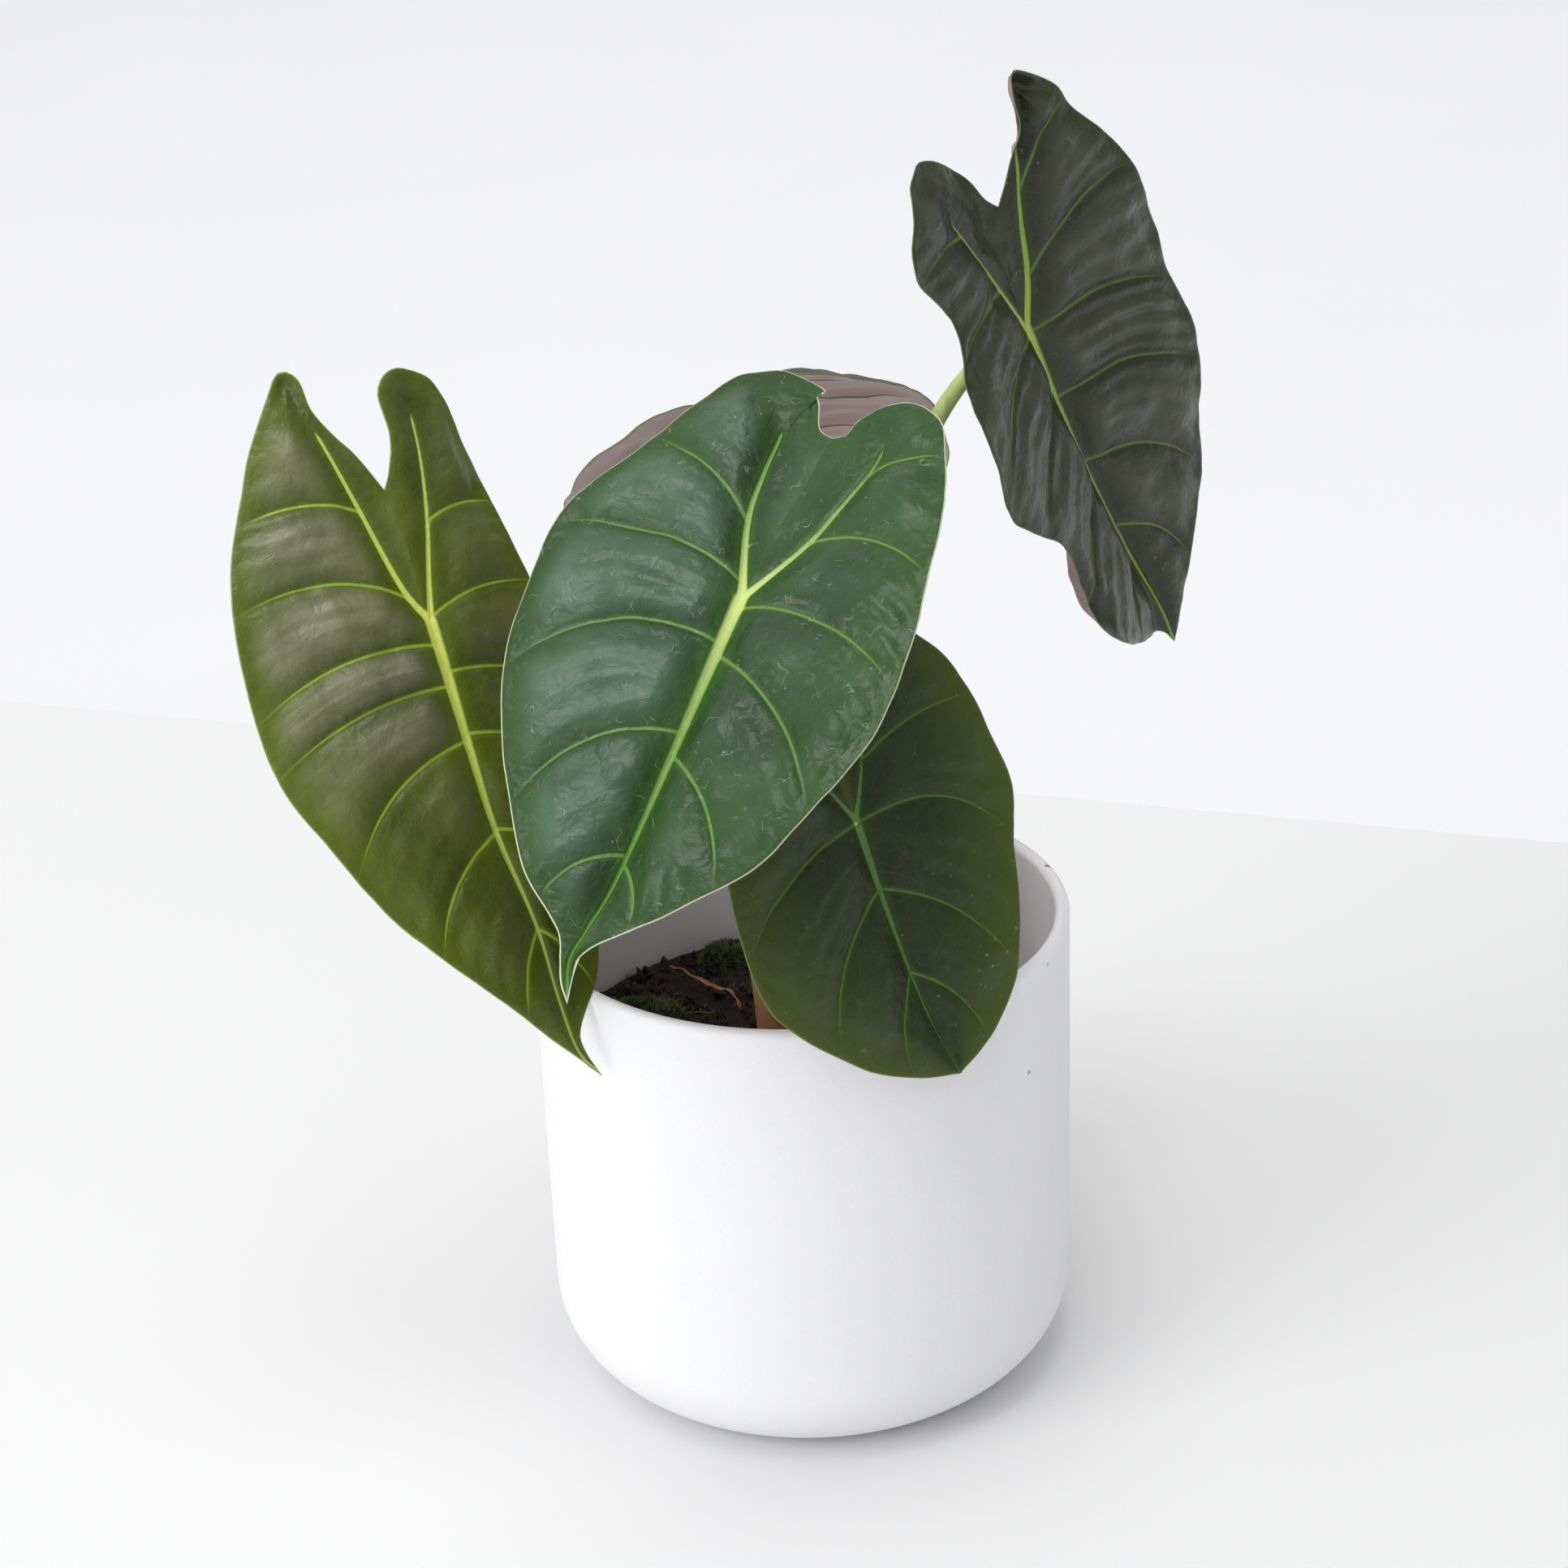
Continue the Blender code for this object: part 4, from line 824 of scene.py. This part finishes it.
def makeSheath():
    # a papery ribbon: its cross-section is a shallow arch that turns along the route, with a crinkled edge
    count, columns = sheath["spans"], sheath["across"]
    route = smoothPath(sheath["route"], count)
    share = np.linspace(0.0, 1.0, count)
    route = route + np.column_stack([softNoise(route, 2.5, s) for s in (1.0, 2.0, 3.0)]) * 0.35
    tangent = unit(np.gradient(route, axis=0))
    side = unit(np.cross(tangent, [0.0, 0.0, 1.0]))
    upward = np.cross(side, tangent)
    turn = np.radians(10.0 + 50.0 * share + 22.0 * np.sin(9.0 * share))[:, None]
    wide = np.cos(turn) * side + np.sin(turn) * upward
    proud = np.cos(turn) * upward - np.sin(turn) * side
    widths = np.interp(share * 3.0, range(4), sheath["widths"]) * (1.0 + 0.25 * np.sin(21.0 * share))
    # once round the flattened section: out along the upper face and back along the lower one
    angle = np.linspace(0.0, 2.0 * np.pi, columns * 2, endpoint=False)
    across, rise = np.cos(angle), np.sin(angle)
    arch = 0.35 * (1.0 - across ** 2)
    ends = np.sqrt(np.clip(1.0 - (2.0 * share - 1.0) ** 12, 0.0, 1.0))
    points = (route[:, None] + (widths * ends)[:, None, None] * 0.5 * across[None, :, None] * wide[:, None]
              + (ends[:, None] * (widths[:, None] * 0.5 * arch + sheath["thickness"] * 0.5 * rise))[..., None]
              * proud[:, None]).reshape(-1, 3)
    triangles = gridTriangles(count, columns * 2, aroundColumns=True)
    uv = np.column_stack([np.repeat(share * 30.0, columns * 2), np.tile(across * 2.0, count)]) * mm
    kept, triangles = weld(points, triangles)
    # Dead leaf sheath: thin brittle fibre, orange-brown with pale threads, slightly glossy.
    material, tree, shader = newMaterial("dry papery sheath")
    uvNode = addNode(tree, "UVMap", {}, uv_map="UVMap").outputs["UV"]
    threads = addNode(tree, "VectorMath", {0: uvNode, 1: (180.0, 3200.0, 0.0)}, operation="MULTIPLY")
    threads = addNode(tree, "TexNoise", {"Vector": threads.outputs[0], "Scale": 1.0, "Detail": 4.0})
    tone = addNode(tree, "Mix", {0: threads.outputs["Fac"], 6: linear(sheath["dark"]), 7: linear(sheath["light"])},
                   data_type="RGBA")
    pale = addNode(tree, "MapRange", {"Value": threads.outputs["Fac"], "From Min": 0.55, "From Max": 0.72,
                                      "To Max": 0.7})
    tone = addNode(tree, "Mix", {0: pale.outputs["Result"], 6: tone.outputs[2], 7: linear(sheath["pale"])},
                   data_type="RGBA")
    tree.links.new(tone.outputs[2], shader.inputs["Base Color"])
    shader.inputs["Roughness"].default_value = 0.6
    relief = addNode(tree, "Bump", {"Height": threads.outputs["Fac"], "Strength": 0.6, "Distance": 0.0005})
    tree.links.new(relief.outputs[0], shader.inputs["Normal"])
    piece = buildPiece("dry_sheath_ribbon", points[kept], triangles, [material], None, uv[kept])
    place(piece, "dry_sheath", "dry_sheath")


makeSheath()


soil = {"level": 86.0, "crown": 2.0, "radius": 65.85, "foot": 5.35, "footRound": 20.2, "rings": 74, "sides": 400,
        "stalkGap": 14.0, "sheathGap": 3.0}


def fromSheath(spots):
    return distanceTo(spots, np.array(sheath["route"])[:, :2])


def soilHeight(x, y):
    # a low crown, lumps of 10 mm, crumbs of 4 mm and grit of 1.6 mm
    spots = np.column_stack([x, y])
    away = np.hypot(x, y)
    crown = soil["level"] + soil["crown"] * (1.0 - (away / soil["radius"]) ** 3)
    near = easeStep(soil["radius"] - away, 0.0, 4.0) * (0.2 + 0.8 * easeStep(fromSheath(spots), 1.0, 5.0))
    return crown + (1.1 * softNoise(spots, 10.0, 1.0) + 0.9 * softNoise(spots, 4.0, 2.0)
                    + 0.5 * softNoise(spots, 1.7, 4.0)) * (0.3 + 0.7 * near) + 0.5


def makeSoil():
    top = np.column_stack([np.linspace(0.0, soil["radius"], soil["rings"]), np.full(soil["rings"], soil["level"])])
    roundCentre = (soil["radius"] - soil["footRound"], soil["foot"] + soil["footRound"])
    side = arcPoints(roundCentre, soil["footRound"], 0, -90, 12)
    profile = np.vstack([top, side, [(0.0, soil["foot"])]])
    points, triangles = makeTurned(profile, soil["sides"])
    onTop = np.arange(len(points)) < soil["rings"] * soil["sides"]
    points[onTop, 2] = soilHeight(points[onTop, 0], points[onTop, 1])
    kept, triangles = weld(points, triangles)
    peat = looseMatter("damp peat", "#120e0b", "#2a211a", "#3a2c1e", 1.6, 0.5)
    piece = buildPiece("potting_mix_surface", points[kept], triangles, [peat])
    place(piece, "potting_mix", "potting_mix", "root_ball")


def turnedRandomly(count):
    # rotation matrices from random unit quaternions
    q = unit(rng.normal(size=(count, 4)))
    w, x, y, z = q.T
    return np.stack([1 - 2 * (y * y + z * z), 2 * (x * y - w * z), 2 * (x * z + w * y),
                     2 * (x * y + w * z), 1 - 2 * (x * x + z * z), 2 * (y * z - w * x),
                     2 * (x * z - w * y), 2 * (y * z + w * x), 1 - 2 * (x * x + y * y)], -1).reshape(-1, 3, 3)


def scatterSpots(count, inner, outer, keep=None):
    # even over a ring; keep drops some of them
    away = np.sqrt(rng.uniform(inner ** 2, outer ** 2, count))
    bearing = rng.uniform(0.0, 2.0 * np.pi, count)
    x, y = away * np.cos(bearing), away * np.sin(bearing)
    chosen = np.hypot(x - stalk["centre"][0], y - stalk["centre"][1]) > soil["stalkGap"]
    chosen &= fromSheath(np.column_stack([x, y])) > soil["sheathGap"]
    if keep is not None:
        chosen &= keep(x, y)
    return x[chosen], y[chosen]


def copies(points, triangles, shape):
    # the same triangles for every copy, numbered on
    count = len(points)
    return points.reshape(-1, 3), (triangles[None] + (np.arange(count) * shape)[:, None, None]).reshape(-1, 3)


def makeChips(name, count, size, material, seedHeight):
    # splinters of bark: six-sided rings with rough radii, squashed and turned
    rings, sides = 4, 6
    angle = np.linspace(0.0, 2.0 * np.pi, sides, endpoint=False)
    girth = np.array([0.0, 0.9, 1.0, 0.0])
    heights = np.array([-1.0, -0.5, 0.45, 1.0])
    base = np.stack([girth[:, None] * np.cos(angle), girth[:, None] * np.sin(angle),
                     np.repeat(heights[:, None], sides, 1)], -1).reshape(-1, 3)
    kept, triangles = weld(base, gridTriangles(rings, sides, aroundColumns=True, flip=True))
    base = base[kept]
    x, y = scatterSpots(count, 0.0, 63.5)
    lengths = rng.uniform(0.5, 1.0, (len(x), 1)) * size
    widths = lengths * rng.uniform(0.35, 0.8, (len(x), 1))
    depths = lengths * rng.uniform(0.15, 0.4, (len(x), 1))
    scale = np.hstack([widths, depths, lengths])
    rough = 1.0 + 0.28 * rng.uniform(-1, 1, (len(x), len(base), 3))
    points = np.einsum("nij,npj->npi", turnedRandomly(len(x)), base[None] * scale[:, None] * rough)
    points += np.column_stack([x, y, soilHeight(x, y) + seedHeight])[:, None]
    points, triangles = copies(points, triangles, len(base))
    piece = buildPiece(name, points, triangles, [material])
    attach(piece, "root")
    print(f"{name}: {len(x)} chips")


def makeFibres(name, count, material):
    # thin roots: three-sided tubes of radius 0.2 mm along lazy arcs over the mix
    x, y = scatterSpots(count, 8.0, 60.0)
    steps = np.linspace(-0.5, 0.5, 10)
    length, bend = rng.uniform(6.0, 16.0, (len(x), 1)), rng.uniform(-1.6, 1.6, (len(x), 1))
    bearing = rng.uniform(0.0, 2.0 * np.pi, (len(x), 1)) + bend * steps
    px = x[:, None] + length * steps * np.cos(bearing)
    py = y[:, None] + length * steps * np.sin(bearing)
    inside = np.minimum(1.0, 63.0 / np.hypot(px, py))
    px, py = px * inside, py * inside
    arch = rng.uniform(0.0, 1.2, (len(x), 1)) * np.cos(np.pi * steps)
    pz = soilHeight(px.ravel(), py.ravel()).reshape(px.shape) + 0.5 + arch
    route = np.stack([px, py, pz], -1)
    tangent = unit(np.gradient(route, axis=1))
    first = unit(np.cross(tangent, [0.0, 0.0, 1.0]))
    second = np.cross(tangent, first)
    angle = np.linspace(0.0, 2.0 * np.pi, 3, endpoint=False)
    cosine, sine = np.cos(angle)[None, None, :, None], np.sin(angle)[None, None, :, None]
    ring = cosine * first[:, :, None] + sine * second[:, :, None]
    girth = 0.22 * np.sqrt(np.clip(1.0 - (2.0 * steps) ** 8, 0.0, 1.0))
    points = route[:, :, None] + girth[None, :, None, None] * ring
    points = points.reshape(len(x), -1, 3)
    triangles = gridTriangles(len(steps), 3, aroundColumns=True, flip=True)
    points, triangles = copies(points, triangles, points.shape[1])
    kept, triangles = weld(points, triangles)
    piece = buildPiece(name, points[kept], triangles, [material])
    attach(piece, "root")
    print(f"{name}: {len(x)} roots")


makeSoil()
barkDark = looseMatter("composted bark", "#1a120d", "#3c2a1c", "#523923", 2.2, 0.4)
makeChips("bark_chips", 420, 3.4, barkDark, 0.3)
makeChips("peat_crumbs", 900, 1.6, looseMatter("peat crumbs", "#0f0c0a", "#2b221b", "#1b1713", 1.2, 0.4), 0.2)
makeFibres("fine_roots", 160, looseMatter("dry roots", "#3a2a1c", "#7a5c3e", "#4c3a28", 3.0, 0.4))
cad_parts["corm"].data.materials.clear()
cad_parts["corm"].data.materials.append(looseMatter("corm skin", "#2a170d", "#553420", "#3b2314", 2.5, 0.5, 0.7))


moss = {"clumps": {"moss_clump_1": (205, 47, 12, 5), "moss_clump_2": (165, 46, 13, 6),
                   "moss_clump_3": (112, 52, 8.5, 4.5), "moss_clump_4": (88, 50, 12, 5.5),
                   "moss_clump_5": (48, 50, 10, 4)},
        "leafletsEach": 1800, "scattered": 9500, "leafletLength": 2.2, "leafletWidth": 0.27}


def leaflets(feet, headings, lengths):
    # slim three-sided leaflets: a triangle at the foot, a wider one half way, and a point that nods over
    reference = unit(np.cross(headings, rng.normal(size=headings.shape)))
    second = np.cross(headings, reference)
    angle = np.linspace(0.0, 2.0 * np.pi, 3, endpoint=False)
    ring = np.cos(angle)[None, :, None] * reference[:, None] + 0.5 * np.sin(angle)[None, :, None] * second[:, None]
    width = moss["leafletWidth"]
    foot = feet[:, None] + 0.5 * width * ring
    middle = feet[:, None] + 0.5 * lengths[:, None, None] * headings[:, None] + width * ring
    nod = reference * (0.35 * lengths * rng.uniform(-1, 1, len(lengths)))[:, None]
    point = (feet + lengths[:, None] * headings + nod)[:, None]
    points = np.concatenate([foot, middle, point], axis=1)
    triangles = np.array([(0, 2, 1), (0, 1, 4), (0, 4, 3), (1, 2, 5), (1, 5, 4), (2, 0, 3), (2, 3, 5),
                          (3, 4, 6), (4, 5, 6), (5, 3, 6)])
    return copies(points, triangles, 7)


def makeMossClump(name, bearing, distance, radius, height, material):
    angle = np.radians(bearing)
    centre = np.array([distance * np.cos(angle), distance * np.sin(angle)])
    count = moss["leafletsEach"]
    away = radius * np.sqrt(rng.uniform(0.0, 1.0, count))
    turn = rng.uniform(0.0, 2.0 * np.pi, count)
    x, y = centre[0] + away * np.cos(turn), centre[1] + away * np.sin(turn)
    dome = height * np.sqrt(np.clip(1.0 - (away / radius) ** 2, 0.0, 1.0))
    lump = 1.2 * softNoise(np.column_stack([x, y]), 3.0, 6.0)
    base = soil["level"] + soil["crown"] + dome * 0.75 + lump * 0.5
    leaning = np.column_stack([(x - centre[0]) / radius, (y - centre[1]) / radius, np.full(count, 0.9)])
    headings = unit(leaning + 0.55 * rng.normal(size=(count, 3)))
    lengths = moss["leafletLength"] * rng.uniform(0.6, 1.25, count)
    points, triangles = leaflets(np.column_stack([x, y, base]), headings, lengths)
    # a closed cushion under the leaflets
    polar = np.linspace(0.0, np.pi, 14)
    flattened = np.where(polar < np.pi / 2, 1.0, 0.35)
    profile = np.column_stack([radius * 0.95 * np.sin(polar), height * 0.7 * np.cos(polar) * flattened])
    cushion, more = makeTurned(profile, 28)
    cushion = cushion * (1.0 + 0.08 * softNoise(cushion, 4.0, 9.0))[:, None]
    cushion += [*centre, soil["level"] + soil["crown"] + 0.3]
    kept, more = weld(cushion, more)
    triangles = np.vstack([triangles, more + len(points)])
    piece = buildPiece(name + "_tuft", np.vstack([points, cushion[kept]]), triangles, [material])
    place(piece, "moss", name)


def makeMossCarpet(material):
    # leaflets growing straight on the mix where a slow noise is high, mostly to the left and round the dry sheath
    def wanted(x, y):
        spots = np.column_stack([x, y])
        growth = softNoise(spots, 13.0, 11.0) + 0.5 * softNoise(spots, 4.0, 12.0)
        return growth > x / 90.0 - 0.6 * np.exp(-((x + 28.0) ** 2 + (y - 24.0) ** 2) / 600.0)
    x, y = scatterSpots(moss["scattered"], 0.0, 64.0, wanted)
    headings = unit(np.column_stack([0.7 * rng.normal(size=(len(x), 2)), rng.uniform(0.4, 1.2, len(x))]))
    lengths = moss["leafletLength"] * rng.uniform(0.45, 1.0, len(x))
    points, triangles = leaflets(np.column_stack([x, y, soilHeight(x, y) - 0.2]), headings, lengths)
    piece = buildPiece("moss_carpet", points, triangles, [material])
    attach(piece, "root")
    print(f"moss_carpet: {len(x)} leaflets")


mossGreen = looseMatter("cushion moss", "#1b2212", "#566838", "#809448", 2.0, 0.6, 0.8)
for clumpName, clumpValues in moss["clumps"].items():
    makeMossClump(clumpName, *clumpValues, mossGreen)
makeMossCarpet(mossGreen)


room = {"tableColour": "#eaeaea", "groundColour": "#fdfdff", "backEdge": 0.377, "edgeTurn": 18.0,
        "tableSide": 2.5, "tableFront": -2.0, "tableThick": 0.03, "groundReach": 12.0, "groundHeight": -0.35,
        "sky": (0.985, 0.988, 1.0), "brightSide": (-0.5, -0.25, 0.83), "dim": 0.42, "bright": 1.04}


def plainSurface(name, colour, roughness):
    # Smooth painted board: even white with a faint cloudiness.
    material, tree, shader = newMaterial(name)
    place_ = addNode(tree, "TexCoord", {}).outputs["Object"]
    clouds = addNode(tree, "TexNoise", {"Vector": place_, "Scale": 3.0, "Detail": 2.0})
    tone = addNode(tree, "Mix", {0: clouds.outputs["Fac"], 6: linear(colour), 7: linear(colour, 0.97)},
                   data_type="RGBA")
    tree.links.new(tone.outputs[2], shader.inputs["Base Color"])
    shader.inputs["Roughness"].default_value = roughness
    return material


def makeSheetOf(name, corners, material):
    points = np.array(corners, float) / mm
    buildPiece(name, points, np.array([(0, 1, 2), (0, 2, 3)]), [material])


slope = np.tan(np.radians(room["edgeTurn"]))
side, front, thick = room["tableSide"], room["tableFront"], room["tableThick"]
backRight, backLeft = room["backEdge"] - side * slope, room["backEdge"] + side * slope
makeSheetOf("table_top", [(-side, front, 0.0), (side, front, 0.0), (side, backRight, 0.0), (-side, backLeft, 0.0)],
            plainSurface("painted table top", room["tableColour"], 0.6))
makeSheetOf("table_edge", [(side, backRight, 0.0), (side, backRight, -thick), (-side, backLeft, -thick),
                           (-side, backLeft, 0.0)], plainSurface("painted table edge", room["tableColour"], 0.6))
reach, below = room["groundReach"], room["groundHeight"]
makeSheetOf("ground", [(-reach, -reach, below), (reach, -reach, below), (reach, reach, below), (-reach, reach, below)],
            plainSurface("pale ground", room["groundColour"], 0.8))

world = bpy.data.worlds.new("soft room")
bpy.context.scene.world = world
world.use_nodes = True
background = world.node_tree.nodes["Background"]
background.inputs["Color"].default_value = (*room["sky"], 1.0)
# a bright ceiling and window wall up and to the left, a dim room to the right and in front
direction = addNode(world.node_tree, "TexCoord", {}).outputs["Generated"]
towardLight = addNode(world.node_tree, "VectorMath", {0: direction, 1: room["brightSide"]}, operation="DOT_PRODUCT")
glow = addNode(world.node_tree, "MapRange", {"Value": towardLight.outputs["Value"], "From Min": 0.0,
                                             "From Max": 0.9, "To Min": room["dim"], "To Max": room["bright"]})
world.node_tree.links.new(glow.outputs["Result"], background.inputs["Strength"])


softboxes = {  # place and aim in metres, side in metres, power in watts
    "window_left": ((-2.6, -1.6, 1.6), (0.0, 0.0, 0.12), 1.8, 40.0),
    "far_floor": ((0.0, 3.4, 2.4), (0.0, 3.4, -0.35), 3.0, 9.0),
    "ceiling": ((-0.1, -0.3, 1.7), (0.0, 0.0, 0.2), 0.7, 6.8),
}
for lampName, (lampPlace, target, size, power) in softboxes.items():
    light = bpy.data.lights.new(lampName, "AREA")
    light.shape = "RECTANGLE"
    light.size = light.size_y = size
    light.energy = power
    lamp = bpy.data.objects.new(lampName, light)
    lamp.rotation_euler = Vector(np.subtract(target, lampPlace)).to_track_quat("-Z", "Y").to_euler()
    lamp.location = lampPlace
    bpy.context.scene.collection.objects.link(lamp)

view = {"place": (-2.9, -738.0, 492.3), "pitch": 24.02, "roll": -2.28, "lens": 72.48}


pitch, roll = np.radians([view["pitch"], view["roll"]])
forward = np.array([0.0, np.cos(pitch), -np.sin(pitch)])
upward = np.cross([1.0, 0.0, 0.0], forward)
matrix = np.eye(4)
matrix[:3, 0] = np.cos(roll) * np.array([1.0, 0.0, 0.0]) + np.sin(roll) * upward
matrix[:3, 1] = np.cos(roll) * upward - np.sin(roll) * np.array([1.0, 0.0, 0.0])
matrix[:3, 2] = -forward
matrix[:3, 3] = np.array(view["place"]) * mm
camera = bpy.data.cameras.new("camera")
camera.sensor_width = 36.0
camera.lens = view["lens"]
camera.clip_start, camera.clip_end = 0.01, 50.0
holder = bpy.data.objects.new("camera", camera)
holder.matrix_world = Matrix(matrix.tolist())
bpy.context.scene.collection.objects.link(holder)
bpy.context.scene.camera = holder
bpy.context.scene.view_settings.view_transform = "Standard"
print("table, light and camera ready")
